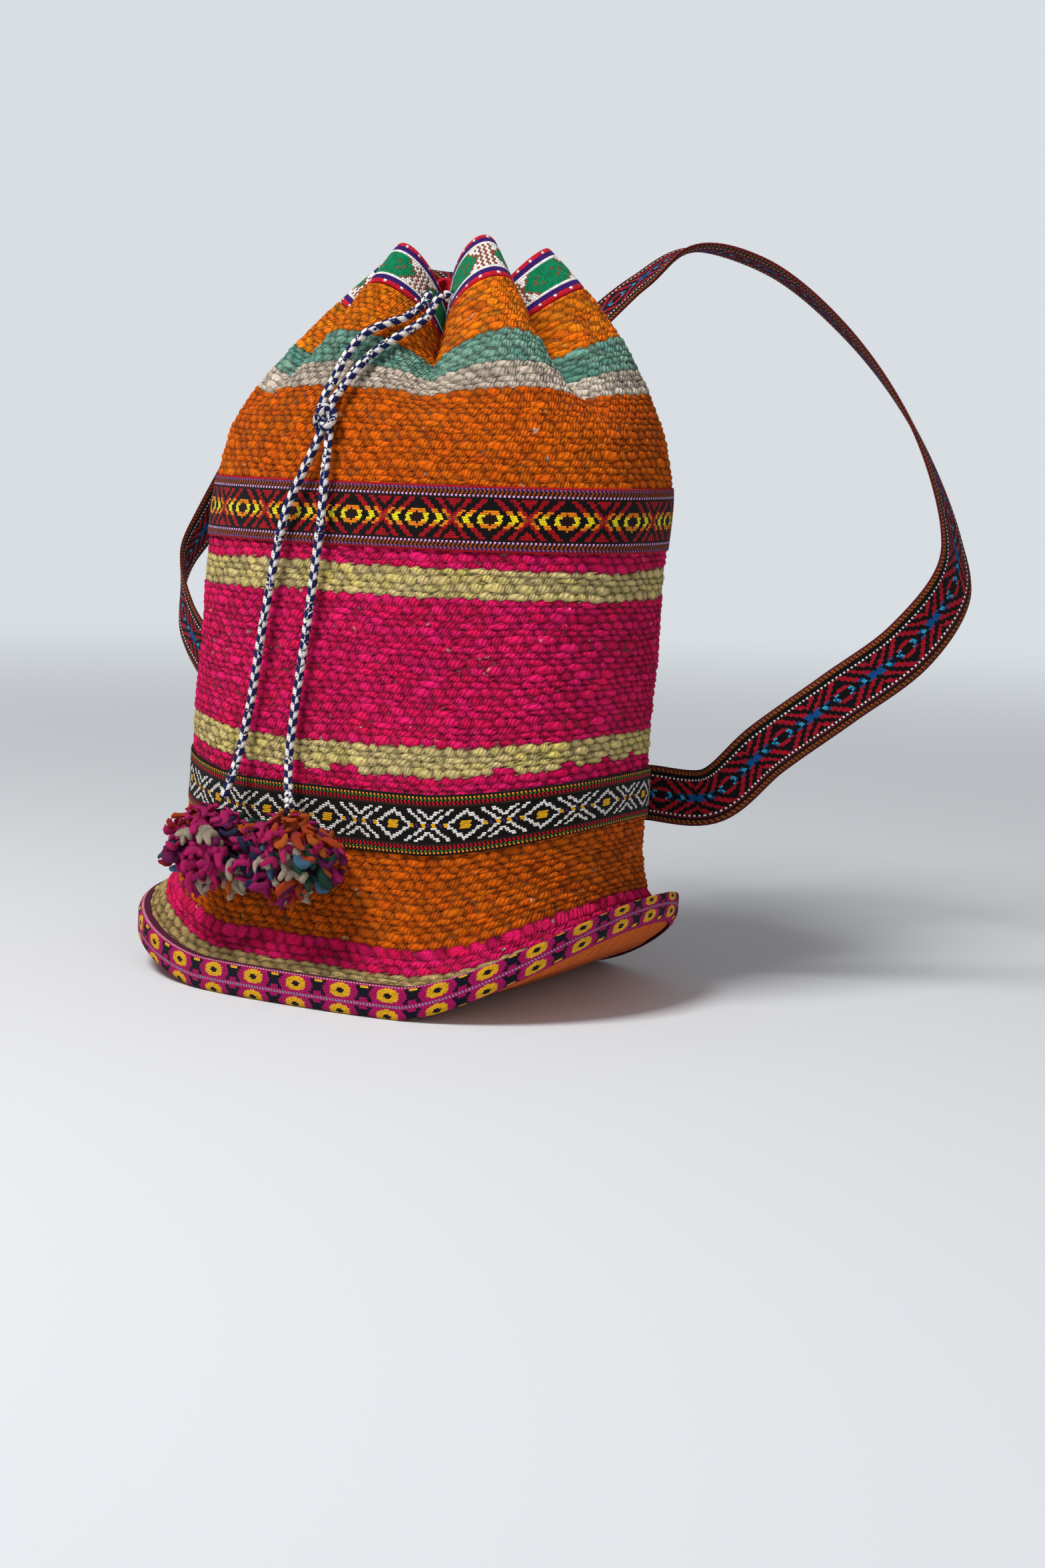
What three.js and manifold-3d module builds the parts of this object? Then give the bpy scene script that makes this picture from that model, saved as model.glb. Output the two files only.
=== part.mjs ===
// A drawstring backpack of striped wool cloth, standing on its oval base with its mouth drawn into gathers.
// Millimetres, +Z up. The front faces -Y and the straps are on the +Y side. The origin is the middle of the
// base's flat underside. Angles run round the section from +X towards +Y, so the front is at -90 degrees.
import * as THREE from 'three';
import { mergeVertices } from 'three/addons/utils/BufferGeometryUtils.js';
import Module from 'manifold-3d';

const { degToRad, lerp, smoothstep } = THREE.MathUtils;

// Body cloth
const BODY_WIDTH = 258;
const BODY_DEPTH = 160;
const SHOULDER_HEIGHT = 245;
const MOUTH_HEIGHT = 385;
const MOUTH_WIDTH = 94;
const MOUTH_DEPTH = 86;
const CLOTH_THICKNESS = 4;
const CORNER_POWER = 2.5;
const DOME_POWER = 2.15;
const FLARE = 13;
const FLARE_HEIGHT = 75;

// Gathers
const GATHERS = 6;
const GATHER_START = 290;
const THROAT_WIDTH = 36;
const VALLEY_DROP = 36;
const FOLD_SHARPNESS = 0.8;
const FRONT_VALLEY = degToRad(-78);
const TALL_CREST = degToRad(-48);
const CREST_RISE = 9;

// Weft ridges, each standing for three rows of yarn
const RIDGE_PITCH = 13;
const RIDGE_HEIGHT = 1.2;
const RIDGE_DIP = 0.4;

// Woven tapes sewn round the body and the mouth
const TAPE_THICKNESS = 1.6;
const LOWER_TAPE_HEIGHT = 79;
const LOWER_TAPE_WIDTH = 31;
const UPPER_TAPE_HEIGHT = 232;
const UPPER_TAPE_WIDTH = 33;
const BORDER_RISE = 21;
const BORDER_THICKNESS = 2.6;
const BORDER_SEAM = 0.8;

// Base panel, seam and binding
const BASE_THICKNESS = 7;
const SEAM_REACH = 10;
const BINDING_THICKNESS = 1.6;
const BINDING_ROUND = 3;
const BINDING_LAP = 8;
const FLAT_SHARE = 0.43;
const SLOPE_SHARE = 0.8;

// How the filled bag sits: the ends of its base curl up off the ground, the rim outside the seam turns up at the
// right and droops at the left, and the top leans back
const RIGHT_CURL = 27;
const LEFT_CURL = 24;
const CURL_START = 60;
const CURL_POWER = 1.5;
const RIM_RISE = 9;
const RIM_DRAW = 0.3;
const RIM_DROOP = 5;
const LEAN_BACK = 46;
const LEAN_POWER = 1.4;

// Straps
const STRAP_WIDTH = 30;
const STRAP_THICKNESS = 2.4;
const STRAP_STEPS = 46;
const STRAP_CLEARANCE = 0.9;
const STRAP_SPACING = 34;
const UPPER_SEAM_HEIGHT = 284;
const SEAM_LENGTH = 26;
const LIFT_OFF = 5;
const LOWER_SEAM_START = degToRad(12);
const LOWER_SEAM_END = degToRad(47);
const LOWER_SEAM_STATIONS = 6;
const UPPER_SEAM_SHARES = [1.8, 1, 0.5, 0];
const RIGHT_LOOP_REACH = 257;
const RIGHT_LOOP_TOP = 398;
const LEFT_LOOP_REACH = 250;
const LEFT_LOOP_TOP = 386;
const LOOP_BACK = 158;

// Stations of a strap's free loop: distance in from its reach, forward of its back and below its top, then the
// way across it
const STRAP_LOOP = [
  [115, 79, 296, -0.45, -0.05, 0.88],
  [85, 75, 269, -0.6, -0.15, 0.78],
  [49, 66, 240, -0.62, -0.2, 0.74],
  [16, 52, 211, -0.55, -0.35, 0.7],
  [1, 34, 179, -0.35, -0.7, 0.55],
  [9, 20, 152, -0.05, -0.9, 0.4],
  [39, 6, 98, 0.2, -0.92, 0.3],
  [83, 0, 48, 0.35, -0.9, 0.25],
  [131, 3, 13, 0.5, -0.85, 0.15],
  [173, 8, 4, 0.7, -0.7, 0.05],
  [205, 12, 22, 0.85, -0.5, 0],
  [228, 26, 46, 0.95, -0.3, 0],
];

// Drawstring: its run round the throat, and how far its two ends swing out through the front gathers
const CORD_DIAMETER = 4.6;
const CORD_SIDES = 8;
const CORD_CLEARANCE = 1;
const CORD_DROP = 23;
const RING_WIDTH = 64;
const RING_DEPTH = 58;
const RING_STEPS = 30;
const RING_GAP = degToRad(14);
const EXIT_SWING = 0.34;

// Routes of the loose cord, from the throat to the knot and from the knot to the pompoms
const LEFT_STRAND = [
  [5.5, 3, 362.3],
  [7.3, -0.8, 360.3],
  [6, -6, 355],
  [1.5, -13, 349.5],
  [-5, -20, 346],
  [-12.5, -27.5, 341],
  [-18.5, -35.5, 330],
  [-21.5, -44, 315.5],
  [-23, -51, 304],
];
const RIGHT_STRAND = [
  [12.35, 4.1, 361.6],
  [11.7, 0.8, 358.2],
  [11, -5, 351],
  [8, -12.5, 345],
  [2.5, -20.5, 339.5],
  [-4.5, -28.5, 332.5],
  [-11.5, -37.5, 322],
  [-15.5, -45.5, 311],
  [-17.3, -51.3, 303.8],
];
const LEFT_TAIL = [
  [-22.6, -52.5, 290.2],
  [-29, -58, 270],
  [-38, -61, 248],
  [-46, -67, 195],
  [-51, -72, 148],
  [-54, -78, 120],
  [-54.5, -89.5, 100.3],
];
const RIGHT_TAIL = [
  [-17.2, -52.5, 290],
  [-15, -59, 270],
  [-14, -63, 248],
  [-17, -69, 195],
  [-21, -74, 148],
  [-20, -80, 120],
  [-10, -92.8, 99.4],
];
const STRAND_STEPS = 10;
const TAIL_STEPS = 16;

// Knot and pompoms
const KNOT_PLACE = [-20, -52.5, 297];
const KNOT_SIZE = [14, 11, 14];
const KNOT_DETAIL = 1;
const POMPOM_SIZE = [48, 40, 50];
const POMPOM_DETAIL = 2;
const LEFT_POMPOM_PLACE = [-54, -96, 78];
const RIGHT_POMPOM_PLACE = [-4, -98.5, 79];
const TUFT_DEPTH = 0.2;
const TUFT_TURNS = 8;

// Space left between neighbouring pieces, and between the curled layers of the base seam
const GAP = 0.3;
const SEAM_GAP = 0.8;

const COLUMNS = 48;
const COLUMN_ANGLE = (2 * Math.PI) / COLUMNS;
const PROBE_HEIGHT = 0.5;

// Levels of the layers sewn together at the base, from the ground up
const PANEL_LOW = BINDING_THICKNESS + SEAM_GAP;
const PANEL_TOP = PANEL_LOW + BASE_THICKNESS;
const FLANGE_LOW = PANEL_TOP + SEAM_GAP;
const FLANGE_TOP = FLANGE_LOW + CLOTH_THICKNESS;
const BINDING_LOW = FLANGE_TOP + SEAM_GAP;
const BINDING_TOP = BINDING_LOW + BINDING_THICKNESS;
const BORDER_LOW = MOUTH_HEIGHT - BORDER_RISE;
const CORD_HEIGHT = MOUTH_HEIGHT - CORD_DROP;
const BACK = Math.PI / 2;

// Half the body's width or depth at a height: flared at the base, upright to the shoulder, then domed.
function reach(body, mouth, height) {
  if (height > SHOULDER_HEIGHT) {
    const up = (height - SHOULDER_HEIGHT) / (MOUTH_HEIGHT - SHOULDER_HEIGHT);
    return mouth / 2 + ((body - mouth) / 2) * (1 - up ** DOME_POWER);
  }
  const under = Math.max(0, 1 - height / FLARE_HEIGHT);
  return body / 2 + FLARE * under ** 2;
}

// 1 in the valley between two gathers and 0 on their crests.
function fold(angle) {
  return 1 - Math.abs(Math.sin((GATHERS / 2) * (angle - FRONT_VALLEY))) ** FOLD_SHARPNESS;
}

function rounded(component, power) {
  return Math.sign(component) * Math.abs(component) ** (2 / power);
}

// The cloth's outer face before the bag settles, at an angle round it and a height measured on the crests.
function sheath(angle, height) {
  const gather = smoothstep(height, GATHER_START, MOUTH_HEIGHT);
  const power = lerp(CORNER_POWER, 2, gather);
  const valley = gather * fold(angle);
  const drawn = 1 - valley * (1 - THROAT_WIDTH / MOUTH_WIDTH);
  return new THREE.Vector3(
    reach(BODY_WIDTH, MOUTH_WIDTH, height) * drawn * rounded(Math.cos(angle), power),
    reach(BODY_DEPTH, MOUTH_DEPTH, height) * drawn * rounded(Math.sin(angle), power),
    height - VALLEY_DROP * valley + CREST_RISE * gather * Math.cos(angle - TALL_CREST),
  );
}

function outward(angle, height) {
  const half = COLUMN_ANGLE / 2;
  const around = sheath(angle + half, height).sub(sheath(angle - half, height));
  const up = sheath(angle, height + PROBE_HEIGHT).sub(sheath(angle, height - PROBE_HEIGHT));
  return around.cross(up).normalize();
}

// How far the base has curled at a place across it: 0 in its flat middle and 1 below the side of the body.
function curled(seamX) {
  const along = Math.max(0, Math.abs(seamX) - CURL_START) / (BODY_WIDTH / 2 - CURL_START);
  return along ** CURL_POWER;
}

// Curls the two ends of the base up and leans the bag back. The curl follows the place of the seam below a point.
function settle(point, seamX = point.x) {
  const curl = seamX > 0 ? RIGHT_CURL : LEFT_CURL;
  const low = Math.max(0, 1 - point.z / SHOULDER_HEIGHT) ** 2;
  point.z += curl * low * curled(seamX);
  point.y += LEAN_BACK * (Math.max(0, point.z) / MOUTH_HEIGHT) ** LEAN_POWER;
  return point;
}

// A point at a distance out from the cloth.
function onCloth(angle, height, out = 0) {
  const point = sheath(angle, height).addScaledVector(outward(angle, height), out);
  return settle(point, sheath(angle, 0).x);
}

// A point beside the seam line at the foot of the cloth: out is level, and height is from the ground.
function bySeam(angle, height, out) {
  const level = outward(angle, 0).setZ(0).normalize();
  const seam = sheath(angle, 0);
  const [rise, draw] = seam.x > 0 ? [RIM_RISE, RIM_DRAW] : [-RIM_DROOP, 0];
  const share = curled(seam.x);
  const point = seam.clone().addScaledVector(level, out * (1 - draw * share)).setZ(height);
  const beyond = Math.max(0, out + CLOTH_THICKNESS) / (SEAM_REACH + CLOTH_THICKNESS);
  settle(point, seam.x).z += rise * share * beyond;
  return point;
}

function columns(place) {
  return Array.from({ length: COLUMNS }, (_, i) => place(FRONT_VALLEY + i * COLUMN_ANGLE, i));
}

// Joins rings of points, each with as many points as the last, into a closed skin: end to end round a hollow
// ring, or with a flat cap on the first and last.
function loft(rings, hollow) {
  const around = rings[0].length;
  const points = rings.flat();
  const index = [];
  const bands = hollow ? rings.length : rings.length - 1;
  for (let j = 0; j < bands; j++) {
    const low = j * around;
    const high = ((j + 1) % rings.length) * around;
    for (let i = 0; i < around; i++) {
      const next = (i + 1) % around;
      const [a, b, c, d] = [low + i, low + next, high + next, high + i];
      const rising = points[a].distanceTo(points[c]) < points[b].distanceTo(points[d]);
      index.push(...(rising ? [a, b, c, a, c, d] : [a, b, d, b, c, d]));
    }
  }
  if (!hollow) {
    const last = (rings.length - 1) * around;
    for (let i = 1; i < around - 1; i++) {
      index.push(0, i + 1, i, last, last + i, last + i + 1);
    }
  }
  const geometry = new THREE.BufferGeometry().setFromPoints(points);
  geometry.setIndex(index);
  geometry.computeVertexNormals();
  return geometry;
}

const wasm = await Module();
wasm.setup();

function solid(geometry) {
  const bare = geometry.clone();
  bare.deleteAttribute('normal');
  bare.deleteAttribute('uv');
  const merged = mergeVertices(bare);
  return new wasm.Manifold(
    new wasm.Mesh({
      numProp: 3,
      vertProperties: merged.attributes.position.array,
      triVerts: new Uint32Array(merged.index.array),
    }),
  );
}

function geometryOf(body) {
  const mesh = body.getMesh();
  const geometry = new THREE.BufferGeometry();
  geometry.setAttribute('position', new THREE.BufferAttribute(mesh.vertProperties, 3));
  geometry.setIndex(new THREE.BufferAttribute(mesh.triVerts, 1));
  geometry.computeVertexNormals();
  return geometry;
}

const backpack = new THREE.Group();

function add(name, geometry, colour, roughness) {
  const material = new THREE.MeshStandardMaterial({ color: colour, roughness, metalness: 0 });
  const mesh = new THREE.Mesh(geometry, material);
  mesh.name = name;
  backpack.add(mesh);
}

// Rows of one ridged stretch of cloth. Neighbouring ridges stand out on alternate columns, as beads of weft do.
function ridgedRows(low, high) {
  const ridges = Math.max(1, Math.round((high - low) / RIDGE_PITCH));
  const rows = [];
  for (let j = 0; j < 2 * ridges; j++) {
    const height = lerp(low, high, j / (2 * ridges));
    const ridge = Math.floor(j / 2);
    const out = (i) => ((i + ridge) % 2 ? RIDGE_HEIGHT : RIDGE_DIP);
    rows.push(columns((angle, i) => onCloth(angle, height, j % 2 ? out(i) : 0)));
  }
  return rows;
}

const lowerTape = [LOWER_TAPE_HEIGHT, LOWER_TAPE_HEIGHT + LOWER_TAPE_WIDTH];
const upperTape = [UPPER_TAPE_HEIGHT, UPPER_TAPE_HEIGHT + UPPER_TAPE_WIDTH];
const borderHeights = [BORDER_LOW, MOUTH_HEIGHT];

function smoothRows(heights, out) {
  return heights.map((height) => columns((angle) => onCloth(angle, height, out)));
}

// The cloth's foot turns out into a flange under the binding, and its inner face climbs back to the mouth.
function bodyCloth() {
  const top = BORDER_LOW - BORDER_SEAM;
  const inside = [1, 0.75, 0.5, 0.25, 0].map((share) => lerp(GATHER_START, top, share));
  const seamRow = (height, out) => columns((angle) => bySeam(angle, height, out));
  const rows = [
    seamRow(FLANGE_TOP, -CLOTH_THICKNESS),
    ...ridgedRows(BINDING_TOP, lowerTape[0]),
    ...smoothRows([lowerTape[0]], 0),
    ...ridgedRows(lowerTape[1], upperTape[0]),
    ...smoothRows([upperTape[0]], 0),
    ...ridgedRows(upperTape[1], top),
    ...smoothRows([top], 0),
    ...smoothRows([...inside, SHOULDER_HEIGHT, FLARE_HEIGHT], -CLOTH_THICKNESS),
    seamRow(FLANGE_LOW, -2 * CLOTH_THICKNESS),
    seamRow(FLANGE_LOW, -CLOTH_THICKNESS),
    seamRow(FLANGE_LOW, SEAM_REACH),
    seamRow(FLANGE_TOP, SEAM_REACH),
  ];
  return loft(rows, true);
}

function tape(heights, low, thickness) {
  const outer = smoothRows(heights, low + thickness);
  const inner = smoothRows(heights, low).reverse();
  return loft([...outer, ...inner], true);
}

// A panel of one thickness: flat in the middle, and raised at its edge by the turn of the binding below it.
function basePanel() {
  const inner = (share, height) =>
    columns((angle) => settle(sheath(angle, 0).multiplyScalar(share).setZ(height)));
  const rim = (height, out) => columns((angle) => bySeam(angle, height, out));
  return loft(
    [
      inner(FLAT_SHARE, 0),
      inner(SLOPE_SHARE, PANEL_LOW),
      rim(PANEL_LOW, -CLOTH_THICKNESS),
      rim(PANEL_LOW, SEAM_REACH),
      rim(PANEL_TOP, SEAM_REACH),
      rim(PANEL_TOP, -CLOTH_THICKNESS),
      inner(SLOPE_SHARE, PANEL_TOP),
      inner(FLAT_SHARE, BASE_THICKNESS),
    ],
    false,
  );
}

// A tape folded over the seam: one lap on the flange, one under the panel, and a rounded fold outside both.
function baseBinding() {
  const lap = SEAM_REACH - BINDING_LAP;
  const inner = SEAM_REACH + GAP;
  const outer = inner + BINDING_THICKNESS;
  const section = [
    [lap, 0],
    [outer - BINDING_ROUND, 0],
    [outer, BINDING_ROUND],
    [outer, BINDING_TOP - BINDING_ROUND],
    [outer - BINDING_ROUND, BINDING_TOP],
    [lap, BINDING_TOP],
    [lap, BINDING_LOW],
    [inner, BINDING_LOW],
    [inner, BINDING_THICKNESS],
    [lap, BINDING_THICKNESS],
  ];
  return loft(section.map(([out, height]) => columns((angle) => bySeam(angle, height, out))), true);
}

// A flat band carried through stations, each a place on its centre line and the way that it lies across there.
function ribbon(stations) {
  const places = new THREE.CatmullRomCurve3(stations.map(([place]) => place));
  const ways = new THREE.CatmullRomCurve3(stations.map(([, way]) => way));
  const rings = [];
  for (let i = 0; i <= STRAP_STEPS; i++) {
    const at = i / STRAP_STEPS;
    const along = places.getTangent(at);
    const across = ways.getPoint(at);
    across.addScaledVector(along, -across.dot(along)).setLength(STRAP_WIDTH / 2);
    const thick = along.clone().cross(across).setLength(STRAP_THICKNESS / 2);
    const middle = places.getPoint(at);
    const corner = (a, t) => middle.clone().addScaledVector(across, a).addScaledVector(thick, t);
    rings.push([corner(1, 1), corner(-1, 1), corner(-1, -1), corner(1, -1)]);
  }
  return loft(rings, false);
}

// A strap lies flat on the lower tape at the back corner, stands off in a loop and comes down to the top of the
// back. Its side is 1 for the right and -1 for the left.
function strap(side, loopReach, loopTop) {
  const onTape = GAP + TAPE_THICKNESS + STRAP_CLEARANCE + STRAP_THICKNESS / 2;
  const onRidges = RIDGE_HEIGHT + STRAP_CLEARANCE + STRAP_THICKNESS / 2;
  const tapeMiddle = LOWER_TAPE_HEIGHT + LOWER_TAPE_WIDTH / 2;
  const way = (x, y, z) => new THREE.Vector3(side * x, y, z);
  const lowSeam = [];
  for (let i = 0; i < LOWER_SEAM_STATIONS; i++) {
    const share = i / (LOWER_SEAM_STATIONS - 1);
    const angle = BACK - side * lerp(LOWER_SEAM_START, LOWER_SEAM_END, share);
    const across = onCloth(angle, lowerTape[1]).sub(onCloth(angle, lowerTape[0])).normalize();
    lowSeam.push([onCloth(angle, tapeMiddle, onTape + LIFT_OFF * share ** 4), across]);
  }
  const loop = STRAP_LOOP.map(([inward, forward, below, ...across]) => [
    way(loopReach - inward, LOOP_BACK - forward, loopTop - below),
    way(...across),
  ]);
  const highSeam = UPPER_SEAM_SHARES.map((share) => {
    const height = UPPER_SEAM_HEIGHT + share * SEAM_LENGTH;
    const lift = 2 * LIFT_OFF * Math.max(0, share - 1);
    const place = onCloth(BACK, height, onRidges + lift);
    return [place.setX((side * STRAP_SPACING) / 2), way(1, 0, 0)];
  });
  return ribbon([...lowSeam, ...loop, ...highSeam]);
}

function cordSection(diameter) {
  const shape = new THREE.Shape();
  for (let i = 0; i <= CORD_SIDES; i++) {
    const angle = (i / CORD_SIDES) * 2 * Math.PI;
    const point = [(diameter / 2) * Math.cos(angle), (diameter / 2) * Math.sin(angle)];
    if (i === 0) shape.moveTo(...point);
    else shape.lineTo(...point);
  }
  return shape;
}

function cord(curve, diameter, steps) {
  return new THREE.ExtrudeGeometry(cordSection(diameter), { extrudePath: curve, steps });
}

function route(points) {
  return new THREE.CatmullRomCurve3(points.map((point) => new THREE.Vector3(...point)));
}

// The drawstring's run round the throat: inside each gather and outside each valley. Both ends swing out through
// the gathers beside the front valley.
function throatRun(gap) {
  const halfGather = Math.PI / GATHERS;
  const points = [];
  for (let i = 0; i <= RING_STEPS; i++) {
    const turn = lerp(gap / 2, 2 * Math.PI - gap / 2, i / RING_STEPS);
    const fromValley = Math.min(turn, 2 * Math.PI - turn);
    const swing = 1 + EXIT_SWING * (1 - smoothstep(fromValley, RING_GAP / 2, halfGather));
    const x = (RING_WIDTH / 2) * swing * Math.cos(FRONT_VALLEY + turn);
    const y = (RING_DEPTH / 2) * swing * Math.sin(FRONT_VALLEY + turn);
    points.push(settle(new THREE.Vector3(x, y, CORD_HEIGHT)));
  }
  return new THREE.CatmullRomCurve3(points);
}

// A ball of the given width, depth and height, its surface drawn in between tufts by a share of its radius.
function ball(size, place, detail, tuftDepth) {
  const geometry = new THREE.IcosahedronGeometry(1, detail);
  const points = geometry.attributes.position;
  const point = new THREE.Vector3();
  for (let i = 0; i < points.count; i++) {
    point.fromBufferAttribute(points, i);
    const waves = point.toArray().map((part, axis) => Math.sin(TUFT_TURNS * part + axis));
    point.multiplyScalar(1 - (tuftDepth * (1 + waves[0] * waves[1] + waves[2])) / 3);
    points.setXYZ(i, point.x, point.y, point.z);
  }
  geometry.scale(...size.map((whole) => whole / 2));
  return geometry.translate(...place);
}

add('body_cloth', bodyCloth(), 0xc4302f, 0.95);
add('upper_tape', tape(upperTape, GAP, TAPE_THICKNESS), 0x8f1a22, 0.85);
add('lower_tape', tape(lowerTape, GAP, TAPE_THICKNESS), 0x1c1718, 0.85);
add('base_panel', basePanel(), 0xa85a1c, 0.95);
add('base_binding', baseBinding(), 0xa60561, 0.8);
add('right_strap', strap(1, RIGHT_LOOP_REACH, RIGHT_LOOP_TOP), 0x5a1220, 0.85);
add('left_strap', strap(-1, LEFT_LOOP_REACH, LEFT_LOOP_TOP), 0x5a1220, 0.85);

// The slits run a little past the ends of the cord.
const border = tape(borderHeights, -BORDER_THICKNESS, BORDER_THICKNESS);
const slits = cord(throatRun(RING_GAP / 2), CORD_DIAMETER + 2 * CORD_CLEARANCE, RING_STEPS);
add('mouth_border', geometryOf(solid(border).subtract(solid(slits))), 0xd9d2c6, 0.85);
add('drawstring', cord(throatRun(RING_GAP), CORD_DIAMETER, RING_STEPS), 0x2a3157, 0.8);

add('left_strand', cord(route(LEFT_STRAND), CORD_DIAMETER, STRAND_STEPS), 0x2a3157, 0.8);
add('right_strand', cord(route(RIGHT_STRAND), CORD_DIAMETER, STRAND_STEPS), 0x2a3157, 0.8);
add('drawstring_knot', ball(KNOT_SIZE, KNOT_PLACE, KNOT_DETAIL, 0), 0x2a3157, 0.8);
add('left_tail', cord(route(LEFT_TAIL), CORD_DIAMETER, TAIL_STEPS), 0x2a3157, 0.8);
add('right_tail', cord(route(RIGHT_TAIL), CORD_DIAMETER, TAIL_STEPS), 0x2a3157, 0.8);
add('left_pompom', ball(POMPOM_SIZE, LEFT_POMPOM_PLACE, POMPOM_DETAIL, TUFT_DEPTH), 0xc02a6a, 1);
add('right_pompom', ball(POMPOM_SIZE, RIGHT_POMPOM_PLACE, POMPOM_DETAIL, TUFT_DEPTH), 0xc02a6a, 1);

export default backpack;
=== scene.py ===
# %% [markdown]
# # A drawstring backpack of striped wool
# A bucket bag woven from thick handspun wool, with patterned tapes sewn round it, a bound oval base, two woven
# straps and a braided drawstring that ends in two pompoms. The solid model gives every size and place. This
# script dresses each solid in yarn: the weft beads, the woven motifs, the braid and the cut yarn ends.

import bpy
import numpy as np
from mathutils import Euler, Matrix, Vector


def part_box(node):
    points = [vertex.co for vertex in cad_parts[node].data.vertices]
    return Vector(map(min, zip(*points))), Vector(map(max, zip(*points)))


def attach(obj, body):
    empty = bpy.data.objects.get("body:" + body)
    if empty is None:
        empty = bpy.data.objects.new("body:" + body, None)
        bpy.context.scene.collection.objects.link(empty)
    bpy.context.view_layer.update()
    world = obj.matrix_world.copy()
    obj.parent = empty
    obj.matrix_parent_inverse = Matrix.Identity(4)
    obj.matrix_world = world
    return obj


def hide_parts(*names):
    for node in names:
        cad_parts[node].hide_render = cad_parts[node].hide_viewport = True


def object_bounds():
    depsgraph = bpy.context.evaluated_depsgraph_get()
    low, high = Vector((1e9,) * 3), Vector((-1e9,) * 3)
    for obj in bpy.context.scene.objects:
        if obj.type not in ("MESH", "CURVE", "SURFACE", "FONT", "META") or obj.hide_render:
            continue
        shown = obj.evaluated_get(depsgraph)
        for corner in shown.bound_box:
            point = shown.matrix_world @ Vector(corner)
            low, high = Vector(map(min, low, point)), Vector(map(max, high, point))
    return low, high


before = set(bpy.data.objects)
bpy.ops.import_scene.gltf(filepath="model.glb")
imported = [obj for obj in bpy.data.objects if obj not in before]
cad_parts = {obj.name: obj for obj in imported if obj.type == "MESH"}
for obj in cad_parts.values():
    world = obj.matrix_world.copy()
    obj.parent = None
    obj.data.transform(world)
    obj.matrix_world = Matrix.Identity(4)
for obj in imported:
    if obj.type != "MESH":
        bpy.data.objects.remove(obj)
cad_box = [list(corner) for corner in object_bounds()]
MM = 0.001


def say(what, *lengths):
    print(what, "in mm:", *np.round(np.array(lengths) / MM, 1))


say("solid model", *cad_box)

# %% [markdown]
# ## The form of the filled bag
# Every band of cloth on the bag lies on one surface, so that surface is written once as a function of an angle
# round the bag and a height up it. It is a rounded oval that is flared at the base, upright to the shoulder,
# domed above it and drawn into deep folds at the mouth. The filled bag then settles: the ends of its base curl
# up and its top leans back. Sizes that the frame can give are read from it.


# %% Sizes of the bag
def box_of(node):
    """The lowest and the highest corner of a solid."""
    return np.array([list(corner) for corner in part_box(node)])


TAPE_STAND_OFF = 1.9 * MM
TAPE_THICKNESS = 1.6 * MM
BORDER_THICKNESS = 2.6 * MM
UPPER_TAPE_WIDTH = 33 * MM
LOWER_TAPE_WIDTH = 31 * MM
BORDER_WIDTH = 21 * MM
CLOTH_THICKNESS = 4 * MM
CREST_RISE = 9 * MM

body_width = np.ptp(box_of("upper_tape")[:, 0]) - 2 * TAPE_STAND_OFF
upper_tape_low = box_of("upper_tape")[0, 2]
lower_tape_low = box_of("lower_tape")[0, 2]
mouth_height = box_of("mouth_border")[1, 2] - CREST_RISE
border_low = mouth_height - BORDER_WIDTH

BODY_DEPTH = 160 * MM
SHOULDER_HEIGHT = 245 * MM
MOUTH_WIDTH = 94 * MM
MOUTH_DEPTH = 86 * MM
FLARE = 13 * MM
FLARE_HEIGHT = 75 * MM
CORNER_POWER = 2.5
DOME_POWER = 2.15

GATHERS = 6
GATHER_START = 290 * MM
THROAT_SHARE = 36 / 94
VALLEY_DROP = 36 * MM
FOLD_SHARPNESS = 0.8
FOLD_SOFTNESS = 0.1
FRONT_VALLEY = np.radians(-78)
TALL_CREST = np.radians(-48)

RIGHT_CURL = 27 * MM
LEFT_CURL = 24 * MM
CURL_START = 60 * MM
CURL_POWER = 1.5
SEAM_REACH = 10 * MM
RIM_RISE = 9 * MM
RIM_DROOP = 5 * MM
RIM_DRAW = 0.3
LEAN_BACK = 46 * MM
LEAN_POWER = 1.4
RIPPLE = 0.9 * MM
GIRTH_HEIGHT = 170 * MM
TURN_STEPS, LEVELS = 1440, 600
say("body width and mouth height", body_width, mouth_height)


# %% Surface of the bag
def smooth(value, low, high):
    """0 below low, 1 above high and a smooth S between."""
    share = np.clip((value - low) / (high - low), 0, 1)
    return share * share * (3 - 2 * share)


def reach(body, mouth, height):
    """Half a width: the body's, with a flare that grows as a square towards the base, less a dome above."""
    up = np.clip((height - SHOULDER_HEIGHT) / (mouth_height - SHOULDER_HEIGHT), 0, None)
    under = np.clip(1 - height / FLARE_HEIGHT, 0, None)
    return body / 2 - (body - mouth) / 2 * up**DOME_POWER + FLARE * under**2


def fold(angle):
    """1 in the valley between two gathers and 0 on a crest: a rectified sine with its sharp foot rounded."""
    wave = np.abs(np.sin(GATHERS / 2 * (angle - FRONT_VALLEY)))
    top = np.hypot(1, FOLD_SOFTNESS) - FOLD_SOFTNESS
    return 1 - ((np.hypot(wave, FOLD_SOFTNESS) - FOLD_SOFTNESS) / top) ** FOLD_SHARPNESS


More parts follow.
